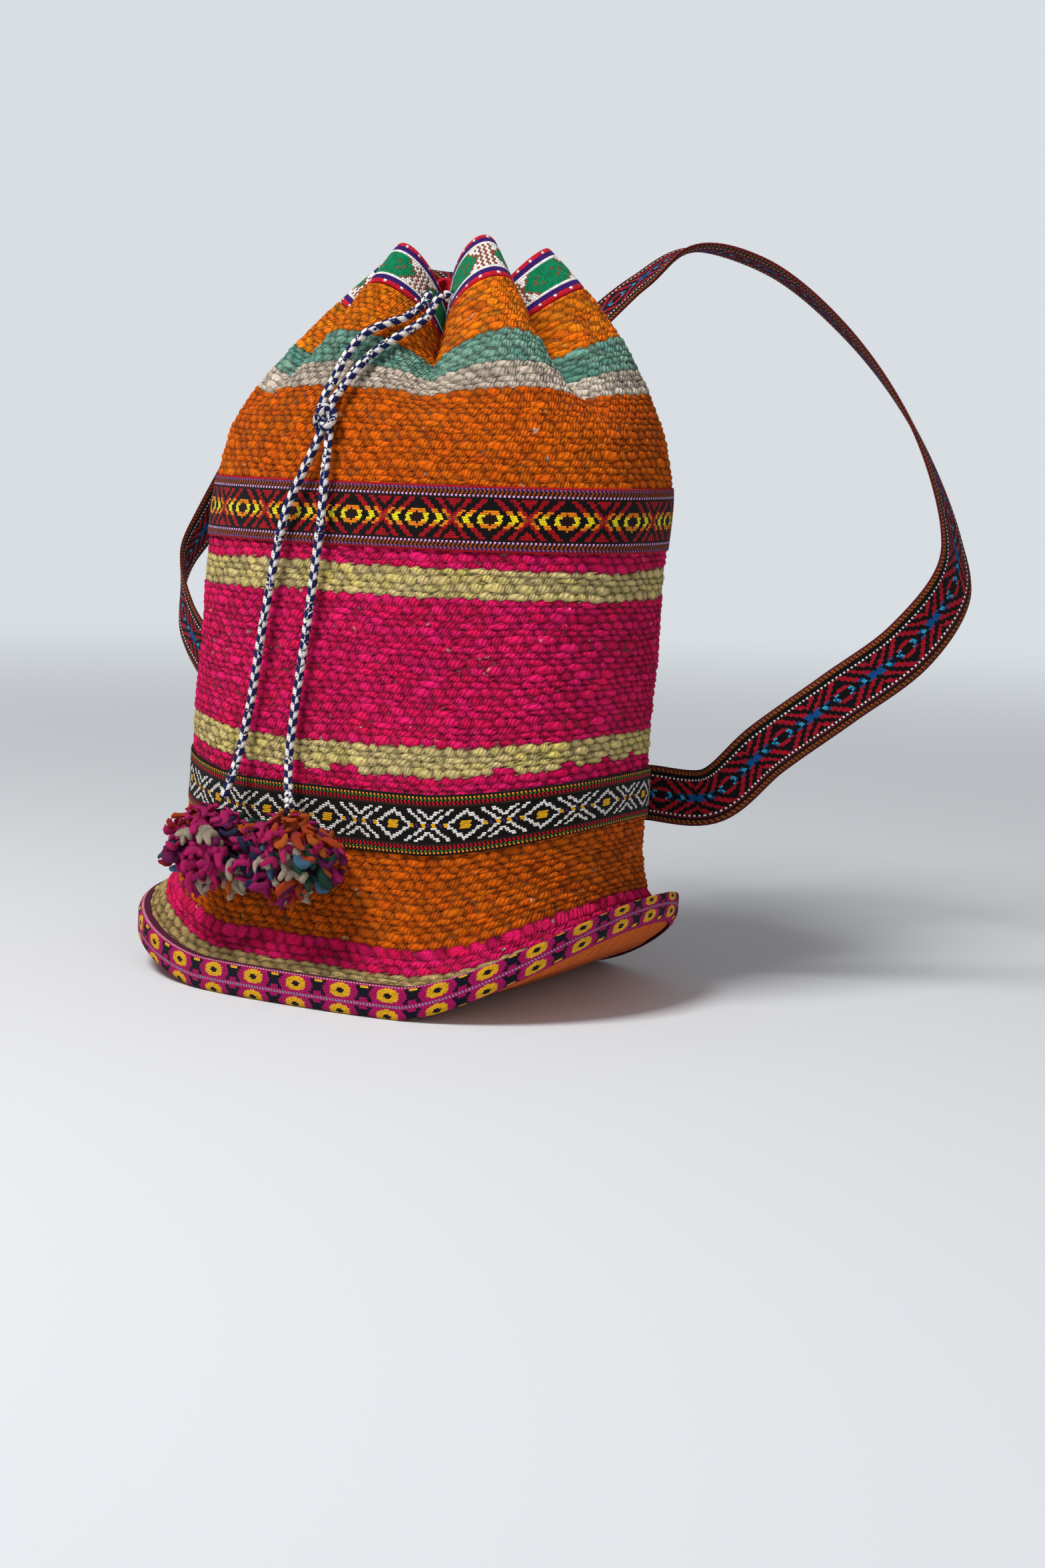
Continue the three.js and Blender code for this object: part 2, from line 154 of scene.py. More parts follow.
def sheath(angle, height):
    """Outer face of the cloth before it settles: a superellipse whose two half widths come from reach(), drawn
    in and dropped where fold() says that there is a valley, with a slow ripple over it."""
    gather = smooth(height, GATHER_START, mouth_height)
    power = 2 / (CORNER_POWER + (2 - CORNER_POWER) * gather)
    valley = gather * fold(angle)
    drawn = 1 - valley * (1 - THROAT_SHARE)
    ripple = RIPPLE * np.sin(3 * angle + 31 * height) * np.sin(2 * angle - 43 * height + 1) * (1 - gather)
    across, deep = np.cos(angle), np.sin(angle)
    x = (reach(body_width, MOUTH_WIDTH, height) * drawn + ripple) * np.sign(across) * np.abs(across) ** power
    y = (reach(BODY_DEPTH, MOUTH_DEPTH, height) * drawn + ripple) * np.sign(deep) * np.abs(deep) ** power
    z = height - VALLEY_DROP * valley + CREST_RISE * gather * np.cos(angle - TALL_CREST)
    return np.stack(np.broadcast_arrays(x, y, z), axis=-1)


def unit(vectors):
    return vectors / np.linalg.norm(vectors, axis=-1, keepdims=True)


def outward(angle, height):
    """Unit normal: the cross product of small steps round and up the sheath."""
    turn, rise = np.radians(1.2), 0.3 * MM
    around = sheath(angle + turn, height) - sheath(angle - turn, height)
    up = sheath(angle, height + rise) - sheath(angle, height - rise)
    return unit(np.cross(around, up))


# %% How the bag settles
def curled(seam_x):
    """How much the base is curled up: 0 in its middle, and about 1 at its ends."""
    return (np.clip(np.abs(seam_x) - CURL_START, 0, None) / (body_width / 2 - CURL_START)) ** CURL_POWER


def settle(points, seam_x):
    """Lifts the base's ends by how far out the seam below lies, then leans the bag back with height."""
    x, y, z = np.moveaxis(points, -1, 0)
    curl = np.where(seam_x > 0, RIGHT_CURL, LEFT_CURL)
    low = np.clip(1 - z / SHOULDER_HEIGHT, 0, None) ** 2
    z = z + curl * low * curled(seam_x)
    y = y + LEAN_BACK * (np.clip(z, 0, None) / mouth_height) ** LEAN_POWER
    return np.stack([x, y, z], axis=-1)


def on_cloth(angle, height, out=0.0):
    """A place on the settled bag, a distance out along the normal."""
    angle, height, out = np.broadcast_arrays(angle, height, out)
    points = sheath(angle, height) + outward(angle, height) * out[..., None]
    return settle(points, sheath(angle, 0 * height)[..., 0])


def by_seam(angle, height, out):
    """A place beside the seam at the foot of the cloth: out is level, and height is from the ground. The rim is
    turned up and drawn in at the right end of the base, and droops at the left end."""
    angle, height, out = np.broadcast_arrays(angle, height, out)
    points = sheath(angle, 0 * height)
    seam_x = points[..., 0].copy()
    share, right = curled(seam_x), seam_x > 0
    level = unit(outward(angle, 0 * height) * [1, 1, 0])
    points += level * (out * np.where(right & (out > 0), 1 - RIM_DRAW * share, 1))[..., None]
    points[..., 2] = height
    points = settle(points, seam_x)
    beyond = np.clip(out + CLOTH_THICKNESS, 0, None) / (SEAM_REACH + CLOTH_THICKNESS)
    points[..., 2] += np.where(right, RIM_RISE, -RIM_DROOP) * share * beyond
    return points


def run_of(points):
    """Distance along a line of points, from its first."""
    return np.concatenate([[0], np.cumsum(np.linalg.norm(np.diff(points, axis=0), axis=1))])


# %% Measures along the cloth
# Equal shares of the bag's girth, from the middle of the back and round by the left side, as angles
turns = np.radians(90) + np.linspace(0, 2 * np.pi, TURN_STEPS + 1)
girth_line = sheath(turns, np.full_like(turns, GIRTH_HEIGHT))
girth_steps = run_of(girth_line)
girth = girth_steps[-1]
# Distance up the cloth, over the dome, measured along the tallest gather
levels = np.linspace(0, mouth_height, LEVELS)
climb_line = sheath(np.full_like(levels, TALL_CREST), levels)
climb_steps = run_of(climb_line)


def angle_at(share):
    return np.interp(share, girth_steps / girth, turns)


def climb_at(height):
    return np.interp(height, levels, climb_steps)


def height_at(climb):
    return np.interp(climb, climb_steps, levels)


say("girth and cloth from base to mouth", girth, climb_steps[-1])

# %% [markdown]
# ## One way to make a mesh
# Each piece is a grid of points: columns that close round the piece, and rows that follow one another along it.
# Where the rows close too, as on a hoop of cloth with an outer and an inner face, the grid is a ring. Otherwise
# its two ends get caps. One function turns such an array into a mesh, with its UV map and its attributes.


# %% Grid to mesh
def put(name, points, faces, **attributes):
    """A smooth mesh of points and faces, as an object in the scene. An attribute gives each point a number, for the
    piece's material to read."""
    mesh = bpy.data.meshes.new(name)
    mesh.from_pydata(points.reshape(-1, 3), [], faces)
    mesh.polygons.foreach_set("use_smooth", np.ones(len(faces), dtype=bool))
    for label, values in attributes.items():
        attribute = mesh.attributes.new(label, "FLOAT", "POINT")
        attribute.data.foreach_set("value", np.asarray(values, dtype=float).ravel())
    mesh.update()
    piece = bpy.data.objects.new(name, mesh)
    bpy.context.scene.collection.objects.link(piece)
    print(name, "faces:", len(faces))
    return piece


def quads(number):
    """Faces between the rows of a grid of point numbers, whose columns close round."""
    beside = np.roll(number, -1, axis=-1)
    low, high = np.s_[..., :-1, :], np.s_[..., 1:, :]
    return np.stack([number[low], beside[low], beside[high], number[high]], axis=-1).reshape(-1, 4)


def skin(name, points, u, v, ring=False, **attributes):
    """Mesh of points[row, column]. u has one value more than there are columns, so that the map runs on over
    the place where they close, and v has one more than the rows on a ring. Both can also be whole grids."""
    rows, columns = points.shape[:2]
    u, v = np.broadcast_arrays(u, v if v.ndim > 1 else v[:, None])
    number = np.arange(rows * columns).reshape(rows, columns)
    faces = quads(np.concatenate([number, number[:1]]) if ring else number).tolist()
    weave = np.stack([u, v], axis=-1)
    uv = np.stack([weave[:-1, :-1], weave[:-1, 1:], weave[1:, 1:], weave[1:, :-1]], axis=2)
    corners = [uv.reshape(-1, 2)]
    if not ring:
        faces += [number[0, ::-1].tolist(), number[-1].tolist()]
        corners += [weave[0, -2::-1], weave[-1, :-1]]
    piece = put(name, points, faces, **attributes)
    layer = piece.data.uv_layers.new(name="weave")
    layer.data.foreach_set("uv", np.concatenate(corners).ravel())
    return piece


def dress(piece, finish, slot, *nodes):
    """Gives a piece its finish, lets it stand for its solids and ties it to the bag."""
    piece.data.materials.append(finish)
    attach(piece, "root")
    if nodes:
        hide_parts(*nodes)


# %% [markdown]
# ## Shader maths as plain expressions
# A woven pattern is arithmetic on two coordinates: rows, repeats, distances from the middle of a diamond. One
# small class wraps a socket so that Python's operators add the Math nodes, and one method adds any other node.


# %% Fields over a surface
def maths(operation):
    """A method that adds one Math node."""

    def method(self, *others):
        return self.node("ShaderNodeMath", {"operation": operation}, dict(enumerate([self, *others])))

    return method


class Field:
    """One output socket of a material. Arithmetic between fields and numbers adds Math nodes to its tree."""

    def __init__(self, finish, socket=None):
        self.finish, self.tree, self.socket = finish, finish.node_tree, socket

    def node(self, kind, settings=None, inputs=None, output=0):
        """Adds a node, sets its properties and then its sockets, and gives back one of its outputs."""
        made = self.tree.nodes.new(kind)
        for key, value in (settings or {}).items():
            if key == "stops":
                ramp = made.color_ramp
                ramp.interpolation = "CONSTANT"
                ramp.elements.remove(ramp.elements[1])
                ramp.elements[0].color = value[0][1]
                for place, colour in value[1:]:
                    ramp.elements.new(place).color = colour
            else:
                setattr(made, key, value)
        for key, value in (inputs or {}).items():
            if isinstance(value, Field):
                self.tree.links.new(value.socket, made.inputs[key])
            else:
                made.inputs[key].default_value = value
        return Field(self.finish, made.outputs[output])

    __add__ = __radd__ = maths("ADD")
    __mul__ = __rmul__ = maths("MULTIPLY")
    __sub__ = maths("SUBTRACT")
    __truediv__ = maths("DIVIDE")
    __mod__ = maths("FLOORED_MODULO")
    __lt__ = maths("LESS_THAN")
    __gt__ = maths("GREATER_THAN")
    __abs__ = maths("ABSOLUTE")
    floor = maths("FLOOR")
    sine = maths("SINE")
    either = maths("MAXIMUM")

    def __rsub__(self, other):
        return (self * -1) + other

    def within(self, low, high):
        """1 between two values and 0 outside them."""
        return (self > low) * (self < high)


# %% Colours and finishes
def layers(base, *over):
    """A colour with others laid over it in turn, each where its mask is 1."""
    for mask, colour in over:
        base = mask.node("ShaderNodeMix", {"data_type": "RGBA"}, {0: mask, 6: base, 7: colour}, 2)
    return base


def rgb(red, green, blue):
    """A display colour as the linear colour that a shader works in."""
    display = np.array([red, green, blue])
    linear = np.where(display <= 0.04045, display / 12.92, ((display + 0.055) / 1.055) ** 2.4)
    return (*linear.tolist(), 1.0)


def new_finish(name):
    """A new material, as a Field to add nodes from."""
    finish = bpy.data.materials.new(name)
    finish.use_nodes = True
    return Field(finish)


def close_finish(colour, height, depth, roughness=0.9, sheen=0.06):
    """The material, with a colour and a bump height joined to its shader. Wool and cotton are rough, with a soft
    sheen of fibres."""
    shader = colour.tree.nodes["Principled BSDF"]
    bump = colour.node("ShaderNodeBump", {}, {"Strength": 1.0, "Distance": depth, "Height": height})
    colour.tree.links.new(colour.socket, shader.inputs["Base Color"])
    colour.tree.links.new(bump.socket, shader.inputs["Normal"])
    fabric = {"Roughness": roughness, "Specular IOR Level": 0.06, "Sheen Weight": sheen, "Sheen Roughness": 0.6}
    for key, value in fabric.items():
        shader.inputs[key].default_value = value
    return colour.finish


# %% Places and noise
def apart(vector):
    """The first two parts of a vector."""
    return [vector.node("ShaderNodeSeparateXYZ", {}, {0: vector}, axis) for axis in range(2)]


def weave_map(field):
    """The two coordinates of a piece's UV map."""
    return apart(field.node("ShaderNodeUVMap", {"uv_map": "weave"}))


def own_place(field):
    """A place in the piece's own space."""
    return field.node("ShaderNodeTexCoord", {}, {}, 3)


def marked(field, label):
    """The number that put() gave to each point."""
    return field.node("ShaderNodeAttribute", {"attribute_name": label}, {}, 2)


def ranged(value, low, high, bottom=0.0):
    """A value between low and high as one between bottom and 1."""
    limits = {"From Min": low, "From Max": high, "To Min": bottom}
    return value.node("ShaderNodeMapRange", {}, {"Value": value, **limits})


def chance(x, y):
    """A random value for each whole number of x and y."""
    place = x.node("ShaderNodeCombineXYZ", {}, {0: x, 1: y})
    return x.node("ShaderNodeTexWhiteNoise", {"noise_dimensions": "2D"}, {"Vector": place})


def fibres(field, scale):
    """Fine noise in the piece's own space, for the fuzz of spun yarn."""
    return field.node("ShaderNodeTexNoise", {}, {"Vector": own_place(field), "Scale": scale, "Detail": 3.0})


def oval(x, y, width, height):
    """Below 1 inside an oval with these half sizes: the sum of two squares."""
    return (x / width) * (x / width) + (y / height) * (y / height)


def shaded(colour, value, hue=0.5):
    """A colour made lighter or darker, and turned a little round the colour circle."""
    return value.node("ShaderNodeHueSaturation", {}, {"Hue": hue, "Value": value, "Color": colour})


# %% [markdown]
# ## Striped wool
# The cloth is weft-faced: thick handspun weft covers the warp, and each pass over a warp thread is a plump bead,
# offset by half a bead from the row below and thickest at its middle, so that the rows lock together. Bump alone
# would leave the outline smooth, so the beads are real relief on a fine grid. A bead's number comes from the UV
# map: it gives each bead its own shade, and its row gives it the colour of a stripe.

# %% Beads of weft
BEADS = 84
ROW_PITCH = 3.75 * MM
BEAD_RELIEF = 1.9 * MM
BEAD_SINK = 0.7 * MM
BEAD_SWELL = 0.18
BEAD_SLANT = 0.3
ROUND_STEPS = 6
ROW_STEPS = 5
UV_UNIT = 100
FELTED_FROM = 340 * MM
FELTED_LOSS = 0.5
INNER_ROWS = 8
FOOT_ROWS = 31
FOOT_INSIDE, FOOT_REACH = 11 * MM, 8 * MM
CHANCE_ROWS = 128
bead_sizes = np.random.default_rng(11).random((CHANCE_ROWS, BEADS))
row_starts = np.random.default_rng(12).uniform(0, 2 * np.pi, (CHANCE_ROWS, 2))
total_rows = climb_steps[-1] / ROW_PITCH


def unevenly(u, v):
    """Places in the weave where handspun yarn lies, from places on an even grid of beads and rows: slow waves bend
    the rows and make them thick and thin, and quicker ones, different in each row, make beads long and short."""
    turn = 2 * np.pi * u / BEADS
    v = (
        v
        + 0.13 * np.sin(5 * turn + 0.17 * v)
        + 0.09 * np.sin(14 * turn - 0.4 * v)
        + 0.16 * np.sin(1.7 * v + 3 * turn)
    )
    start = row_starts[np.floor(v).astype(int) % CHANCE_ROWS]
    u = u + 0.15 * np.sin(31 * turn + start[..., 0]) + 0.11 * np.sin(47 * turn + start[..., 1])
    return u + BEAD_SLANT * (v - np.floor(v) - 0.5), v


def bead_height(u, v):
    """0 in the grooves and about 1 on top of a bead: a half round across the yarn times an arch along it. A row is
    wider by a cosine at the middle of each bead, where the next row's beads end."""
    level = np.floor(v)
    swell = BEAD_SWELL * np.cos(2 * np.pi * (u + 0.5 * (level % 2) - 0.5))
    row = (level + (v - level > 1 + swell) - (v - level < -swell)).astype(int)
    shifted = u + 0.5 * (row % 2)
    size = bead_sizes[row % CHANCE_ROWS, np.floor(shifted).astype(int) % BEADS]
    along = shifted - np.floor(shifted) - 0.5
    half = 0.5 + BEAD_SWELL * np.cos(2 * np.pi * along)
    across = (v - row - 0.5) / half
    arch = 0.1 + 0.9 * np.clip(np.cos(np.pi * along), 0, 1) ** 0.5
    return (0.6 + 0.55 * size) * arch * np.sqrt(np.clip(1 - across**2, 0, 1))


# %% Hoops of wool
def foot_line(angle, count):
    """The last of the cloth above the base, from under the binding in to the foot and up, row by row."""
    turn = np.array([(8.2, 14.3), (6.6, 14.4), (4.5, 15.6), (1.4, 17), (-2.2, 19.6), (-5.4, 24), (-7.6, 28.6)]) * MM
    run = run_of(turn)
    places = np.linspace(0, run[-1], count)
    out, height = (np.interp(places, run, turn[:, axis]) for axis in range(2))
    return by_seam(angle[None, :], height[:, None], out[:, None]), run[-1]


def wool_hoop(name, low, high, foot=False):
    """A hoop of cloth between two heights, or from under the binding: beaded outside, plain inside. The beads stand
    off along the normal, the cross product of the steps round and up the grid."""
    first, last = climb_at(low) / ROW_PITCH, climb_at(high) / ROW_PITCH
    columns = BEADS * ROUND_STEPS
    rows = int(round((last - first) * ROW_STEPS)) + 1
    u = np.linspace(0, BEADS, columns + 1)
    v = np.linspace(first, last, rows)
    angle = angle_at(u[:-1] / BEADS)
    outer = on_cloth(angle[None, :], height_at(v * ROW_PITCH)[:, None])
    if foot:
        more, run = foot_line(angle, FOOT_ROWS)
        outer = np.concatenate([more[:-1], outer])
        v = np.concatenate([np.linspace(first - run / ROW_PITCH, first, FOOT_ROWS)[:-1], v])
        first = v[0]
    around = np.roll(outer, -1, axis=1) - np.roll(outer, 1, axis=1)
    normal = unit(np.cross(around, np.gradient(outer, axis=0)))
    weave_u, weave_v = unevenly(*np.meshgrid(u, v))
    relief = bead_height(weave_u, weave_v)[:, :-1]
    edge = np.clip(np.minimum(v - first, last - v), 0, 0.5)[:, None] * 2
    felted = climb_at(FELTED_FROM) / ROW_PITCH
    edge = edge * (1 - FELTED_LOSS * smooth(v, felted, felted + 1))[:, None]
    outer = outer + normal * (edge * (BEAD_RELIEF * relief - BEAD_SINK))[..., None]
    inner_v = np.linspace(last, climb_at(low) / ROW_PITCH, INNER_ROWS)
    inner = on_cloth(angle[None, :], height_at(inner_v * ROW_PITCH)[:, None], -CLOTH_THICKNESS)
    if foot:
        hem = by_seam(angle[None, :], FOOT_INSIDE, np.array([[-FOOT_REACH], [FOOT_REACH]]))
        inner = np.concatenate([inner, hem])
        inner_v = np.concatenate([inner_v, [first, first]])
    beads = np.concatenate([relief, np.full(inner.shape[:2], 0.5)])
    inside = np.concatenate([inner_v, v[:1]])[:, None] + 0 * u
    across = np.concatenate([weave_u, u + 0 * inside])
    down = np.concatenate([weave_v, inside])
    points = np.concatenate([outer, inner])
    return skin(name, points, across / UV_UNIT, down / UV_UNIT, ring=True, bead=beads), (last - first) * ROW_PITCH


# %% Wool finish
ORANGE = rgb(0.83, 0.38, 0.02)
RED_ORANGE = rgb(0.80, 0.28, 0.01)
DEEP_ORANGE = rgb(0.87, 0.40, 0.02)
TOP_ORANGE = rgb(0.93, 0.46, 0.04)
YELLOW_ORANGE = rgb(0.90, 0.50, 0.06)
PINK = rgb(0.90, 0.10, 0.37)
MAGENTA = rgb(0.78, 0.01, 0.32)
STRAW = rgb(0.83, 0.745, 0.51)
KHAKI = rgb(0.68, 0.57, 0.36)
YELLOW_STRAW = rgb(0.88, 0.78, 0.39)
CREAM_GREY = rgb(0.80, 0.73, 0.65)
PALE_GREY = rgb(0.86, 0.81, 0.74)
TEAL_GREY = rgb(0.50, 0.66, 0.58)
DEEP_TEAL = rgb(0.14, 0.52, 0.48)
NEP = rgb(0.78, 0.72, 0.62)
WARP = rgb(0.46, 0.40, 0.35)
# How dark the painted shade in the grooves between beads gets
GROOVE_SHADE = 0.04
STRIPES = [
    (0, KHAKI, STRAW),
    (22, PINK, MAGENTA),
    (33, ORANGE, RED_ORANGE),
    (95, PINK, MAGENTA),
    (120, STRAW, YELLOW_STRAW),
    (134, PINK, MAGENTA),
    (207, STRAW, YELLOW_STRAW),
    (222, PINK, MAGENTA),
    (248, DEEP_ORANGE, RED_ORANGE),
    (314, CREAM_GREY, PALE_GREY),
    (326, TEAL_GREY, DEEP_TEAL),
    (340, TOP_ORANGE, YELLOW_ORANGE),
]


def stripes(field, place, which):
    """The stripe's colour at a share of the way up the cloth: its main colour, or the one that some beads have."""
    stops = [(np.round(climb_at(stripe[0] * MM) / ROW_PITCH) / total_rows, stripe[which]) for stripe in STRIPES]
    return field.node("ShaderNodeValToRGB", {"stops": stops}, {"Fac": place})


def wool():
    field = new_finish("striped_wool")
    u, v = weave_map(field)
    u, v = u * UV_UNIT, v * UV_UNIT
    level = v.floor()
    swell = ((u + (level % 2) * 0.5 - 0.25) * (2 * np.pi)).sine() * BEAD_SWELL
    row = level + ((v - level) > (swell + 1)) - ((v - level) < (swell * -1))
    along = u + (row % 2) * 0.5
    bead = along.floor() % BEADS
    luck = chance(bead, row)
    other_luck = chance(row + 7, bead + 0.5)
    place = (row + 0.5 + (luck - 0.5) * 0.3) / total_rows
    fuzz = fibres(field, 1100.0)
    tufts = fibres(field, 330.0)
    blotch = fibres(field, 28.0)
    accent = ranged(other_luck * 0.4 + blotch + tufts * 0.7, 0.95, 1.45)
    colour = layers(stripes(field, place, 1), (accent * 0.75, stripes(field, place, 2)))
    nep = ranged(fibres(field, 160.0), 0.7, 0.725)
    colour = layers(colour, (nep * 0.75, NEP))
    shade = 0.3 + luck * 0.18 + fuzz * 0.76 + tufts * 0.66
    colour = shaded(colour, shade, 0.4945 + other_luck * 0.011)
    # Painted shade: the colour darkens from the top of each bead down into the grooves between beads, by the bead's
    # height
    depth = marked(field, "bead")
    colour = shaded(colour, ranged(depth, 0.0, 0.8, GROOVE_SHADE))
    bare = depth.within(0.03, 0.3) * (other_luck > 0.8) * (tufts > 0.5)
    colour = layers(colour, (bare * 0.8, WARP))
    twist = ((along * 3.5 - v * 1.9) * (2 * np.pi)).sine()
    height = twist * 0.45 + fuzz * 1.3 + tufts * 0.8
    return close_finish(colour, height, 0.9 * MM, roughness=0.95, sheen=0.02)


wool_finish = wool()
SEAM_HEIGHT = 31 * MM
TUCK = 2 * MM
BORDER_GAP = 0.5 * MM
lower_tape_top, upper_tape_top = lower_tape_low + LOWER_TAPE_WIDTH, upper_tape_low + UPPER_TAPE_WIDTH
lower_wool, lower_climb = wool_hoop("lower_wool", SEAM_HEIGHT, lower_tape_low + TUCK, foot=True)
middle_wool, middle_climb = wool_hoop("middle_wool", lower_tape_top - TUCK, upper_tape_low + TUCK)
upper_wool, upper_climb = wool_hoop("upper_wool", upper_tape_top - TUCK, border_low - BORDER_GAP)
say("wool", lower_climb, middle_climb, upper_climb)
dress(lower_wool, wool_finish, "striped_wool", "body_cloth")
dress(middle_wool, wool_finish, "striped_wool")
dress(upper_wool, wool_finish, "striped_wool")

# %% [markdown]
# ## Patterned tapes
# A warp-faced tape is made of small stitches, and its diamonds have stepped edges because a stitch has one colour.
# The same happens here: the coordinates along and across the tape are first rounded to whole stitches, and the
# motif is worked out from those, as distances from the middle of an eye. The tape itself is a hoop whose edges
# turn down onto the cloth.


# %% Hoops of tape
GIRDLE_STEPS = 2 * TURN_STEPS
EDGE_ROLL = 1.1 * MM


def girdle(height, out, steps):
    """Angles at equal steps along a line round the bag, from the middle of the back, and the line's length."""
    fine = np.radians(90) + np.linspace(0, 2 * np.pi, GIRDLE_STEPS + 1)
    line = on_cloth(fine, np.full_like(fine, height), out)
    run = run_of(line)
    return np.interp(np.linspace(0, run[-1], steps + 1), run, fine), run[-1]


def tape_hoop(name, low, width, inner, outer, steps, repeats):
    """A hoop between two heights and two distances out. Its outer face turns down at both edges in a quarter
    round. The map counts repeats of the motif round it, and 0 to 1 across it."""
    angle, length = girdle(low + width / 2, outer, steps)
    across = np.concatenate([[0, 0.006, 0.018, 0.035], np.linspace(0.06, 0.94, 23), [0.965, 0.982, 0.994, 1]])
    from_edge = np.clip(np.minimum(across, 1 - across) * width / EDGE_ROLL, 0, 1)
    out = inner + (outer - inner) * (0.25 + 0.75 * np.sqrt(1 - (1 - from_edge) ** 2))
    back = np.array([1, 0.5, 0.0])
    shares = np.concatenate([across, back])
    outs = np.concatenate([out, np.full(3, inner)])
    points = on_cloth(angle[None, :-1], low + width * shares[:, None], outs[:, None])
    u = np.linspace(0, repeats, steps + 1)
    v = np.concatenate([across, 2 - back, [2.0]])
    return skin(name, points, u, v, ring=True), length


# %% Stitches
BLACK = rgb(0.05, 0.035, 0.045)
DEEP_RED = rgb(0.66, 0.03, 0.09)
WHITE = rgb(0.93, 0.91, 0.88)


class Stitch:
    """A tape's stitches: x is 0 at the middle of an eye and 0.5 between two, y is 0 in the middle of the tape and
    1 at its edges. Both are the same all over one stitch."""

    def __init__(self, along, across, per_repeat, rows):
        run, lift = along * per_repeat, across * rows
        self.row = lift.floor()
        run = run + (self.row % 2) * 0.5
        self.number = run.floor()
        self.x = abs((self.number / per_repeat + 0.5) % 1 - 0.5)
        self.y = abs((self.row + 0.5) * (2 / rows) - 1)
        self.luck = chance(self.number % 997, self.row)
        self.every_other = (self.number + self.row) % 2
        # plump is 1 in the middle of a stitch and 0 at its edges: the stitch's bump, and in finish() its painted
        # shade
        plump = ((run - self.number) * np.pi).sine() * ((lift - self.row) * np.pi).sine()
        self.relief = plump + fibres(along, 1500.0) * 0.5
        self.plump = plump

    def dotted(self, low, high):
        """Every other stitch of the rows between two values of y."""
        return self.y.within(low, high) * self.every_other

    def finish(self, colour):
        """The tape's material: each stitch has its own random tone, and painted shade darkens each stitch towards
        the gaps between stitches.
        """
        colour = shaded(colour, 0.5 + self.luck * 0.35 + self.plump * 0.5)
        return close_finish(colour, self.relief, 0.35 * MM, roughness=0.85, sheen=0.05)


# %% Motifs
def upper_pattern():
    stitch = Stitch(*weave_map(new_finish("red_tape")), 34, 30)
    x, y = stitch.x, stitch.y
    tan, purple = rgb(0.58, 0.34, 0.40), rgb(0.22, 0.10, 0.42)
    brown, dark = rgb(0.62, 0.28, 0.11), rgb(0.14, 0.05, 0.05)
    lilac, yellow, orange = rgb(0.88, 0.68, 0.88), rgb(0.98, 0.88, 0.12), rgb(0.94, 0.52, 0.08)
    w = y / 0.6
    diamond = x * 2 + w * 0.52
    chevron, crossing = diamond.within(0.6, 0.76), diamond.within(0.86, 1.02)
    eye = oval(x, w, 0.17, 0.5)
    motif = layers(
        BLACK,
        (chevron + diamond.within(0.98, 1.14) + (diamond > 1.3), DEEP_RED),
        (chevron * (w < 0.44) + crossing * (w < 0.42), orange),
        (chevron * (w < 0.24), yellow),
        (crossing * (w < 0.16), brown),
        (eye < 1.0, yellow),
        ((eye < 1.0) * (w > 0.22), orange),
        (eye < 0.32, dark),
    )
    colour = layers(
        DEEP_RED,
        (y.within(0.86, 0.96), tan),
        (stitch.dotted(0.86, 0.96), purple),
        (y.within(0.76, 0.86), brown),
        (stitch.dotted(0.76, 0.86), BLACK),
        (y.within(0.62, 0.76), dark),
        (stitch.dotted(0.66, 0.74), lilac),
        (y < 0.62, motif),
    )
    return stitch.finish(colour)


def lower_pattern():
    stitch = Stitch(*weave_map(new_finish("black_tape")), 36, 30)
    x, y = stitch.x, stitch.y
    yellow, purple, green = rgb(0.92, 0.68, 0.10), rgb(0.30, 0.16, 0.46), rgb(0.24, 0.50, 0.14)
    orange, red, brown = rgb(0.95, 0.58, 0.16), rgb(0.78, 0.05, 0.12), rgb(0.20, 0.11, 0.08)
    w = y / 0.58
    diamond = x * 2 + w * 0.62
    ring = diamond.within(0.43, 0.56)
    arrows = diamond.within(0.88, 1.0) * (w > 0.12) + diamond.within(1.18, 1.3) * (w > 0.26)
    dots = (x < 0.075) * (w < 0.28) + (x.within(0.24, 0.29) + x.within(0.41, 0.46)) * (w < 0.14)
    motif = layers(
        BLACK,
        ((ring + arrows) * (w < 0.97), WHITE),
        ((x.within(0.31, 0.36) + (x > 0.48)) * (w < 0.12), purple),
        (dots, yellow),
    )
    colour = layers(
        BLACK,
        (stitch.dotted(0.86, 0.92), orange),
        (stitch.dotted(0.79, 0.86), green),
        (stitch.dotted(0.66, 0.79), red),
        (y.within(0.6, 0.66), brown),
        (y < 0.58, motif),
    )
    return stitch.finish(colour)


def border_pattern():
    stitch = Stitch(*weave_map(new_finish("white_tape")), 26, 20)
    x, y = stitch.x, stitch.y
    red, purple = rgb(0.80, 0.09, 0.18), rgb(0.22, 0.09, 0.40)
    green, brown = rgb(0.03, 0.50, 0.32), rgb(0.55, 0.29, 0.20)
    lozenge = x + y * 0.36
    colour = layers(
        WHITE,
        (stitch.every_other * (x > 0.36) + (lozenge < 0.42), brown),
        (lozenge < 0.37, green),
        (x.within(0.09, 0.13) * y.within(0.1, 0.2) + x.within(0.19, 0.23) * (y < 0.08), brown),
        (y.within(0.46, 0.6), WHITE),
        (y.within(0.6, 0.77), purple),
        (y > 0.77, red),
        (y.within(0.82, 0.92) * ((stitch.number % 6) < 1), WHITE),
    )
    return stitch.finish(colour)


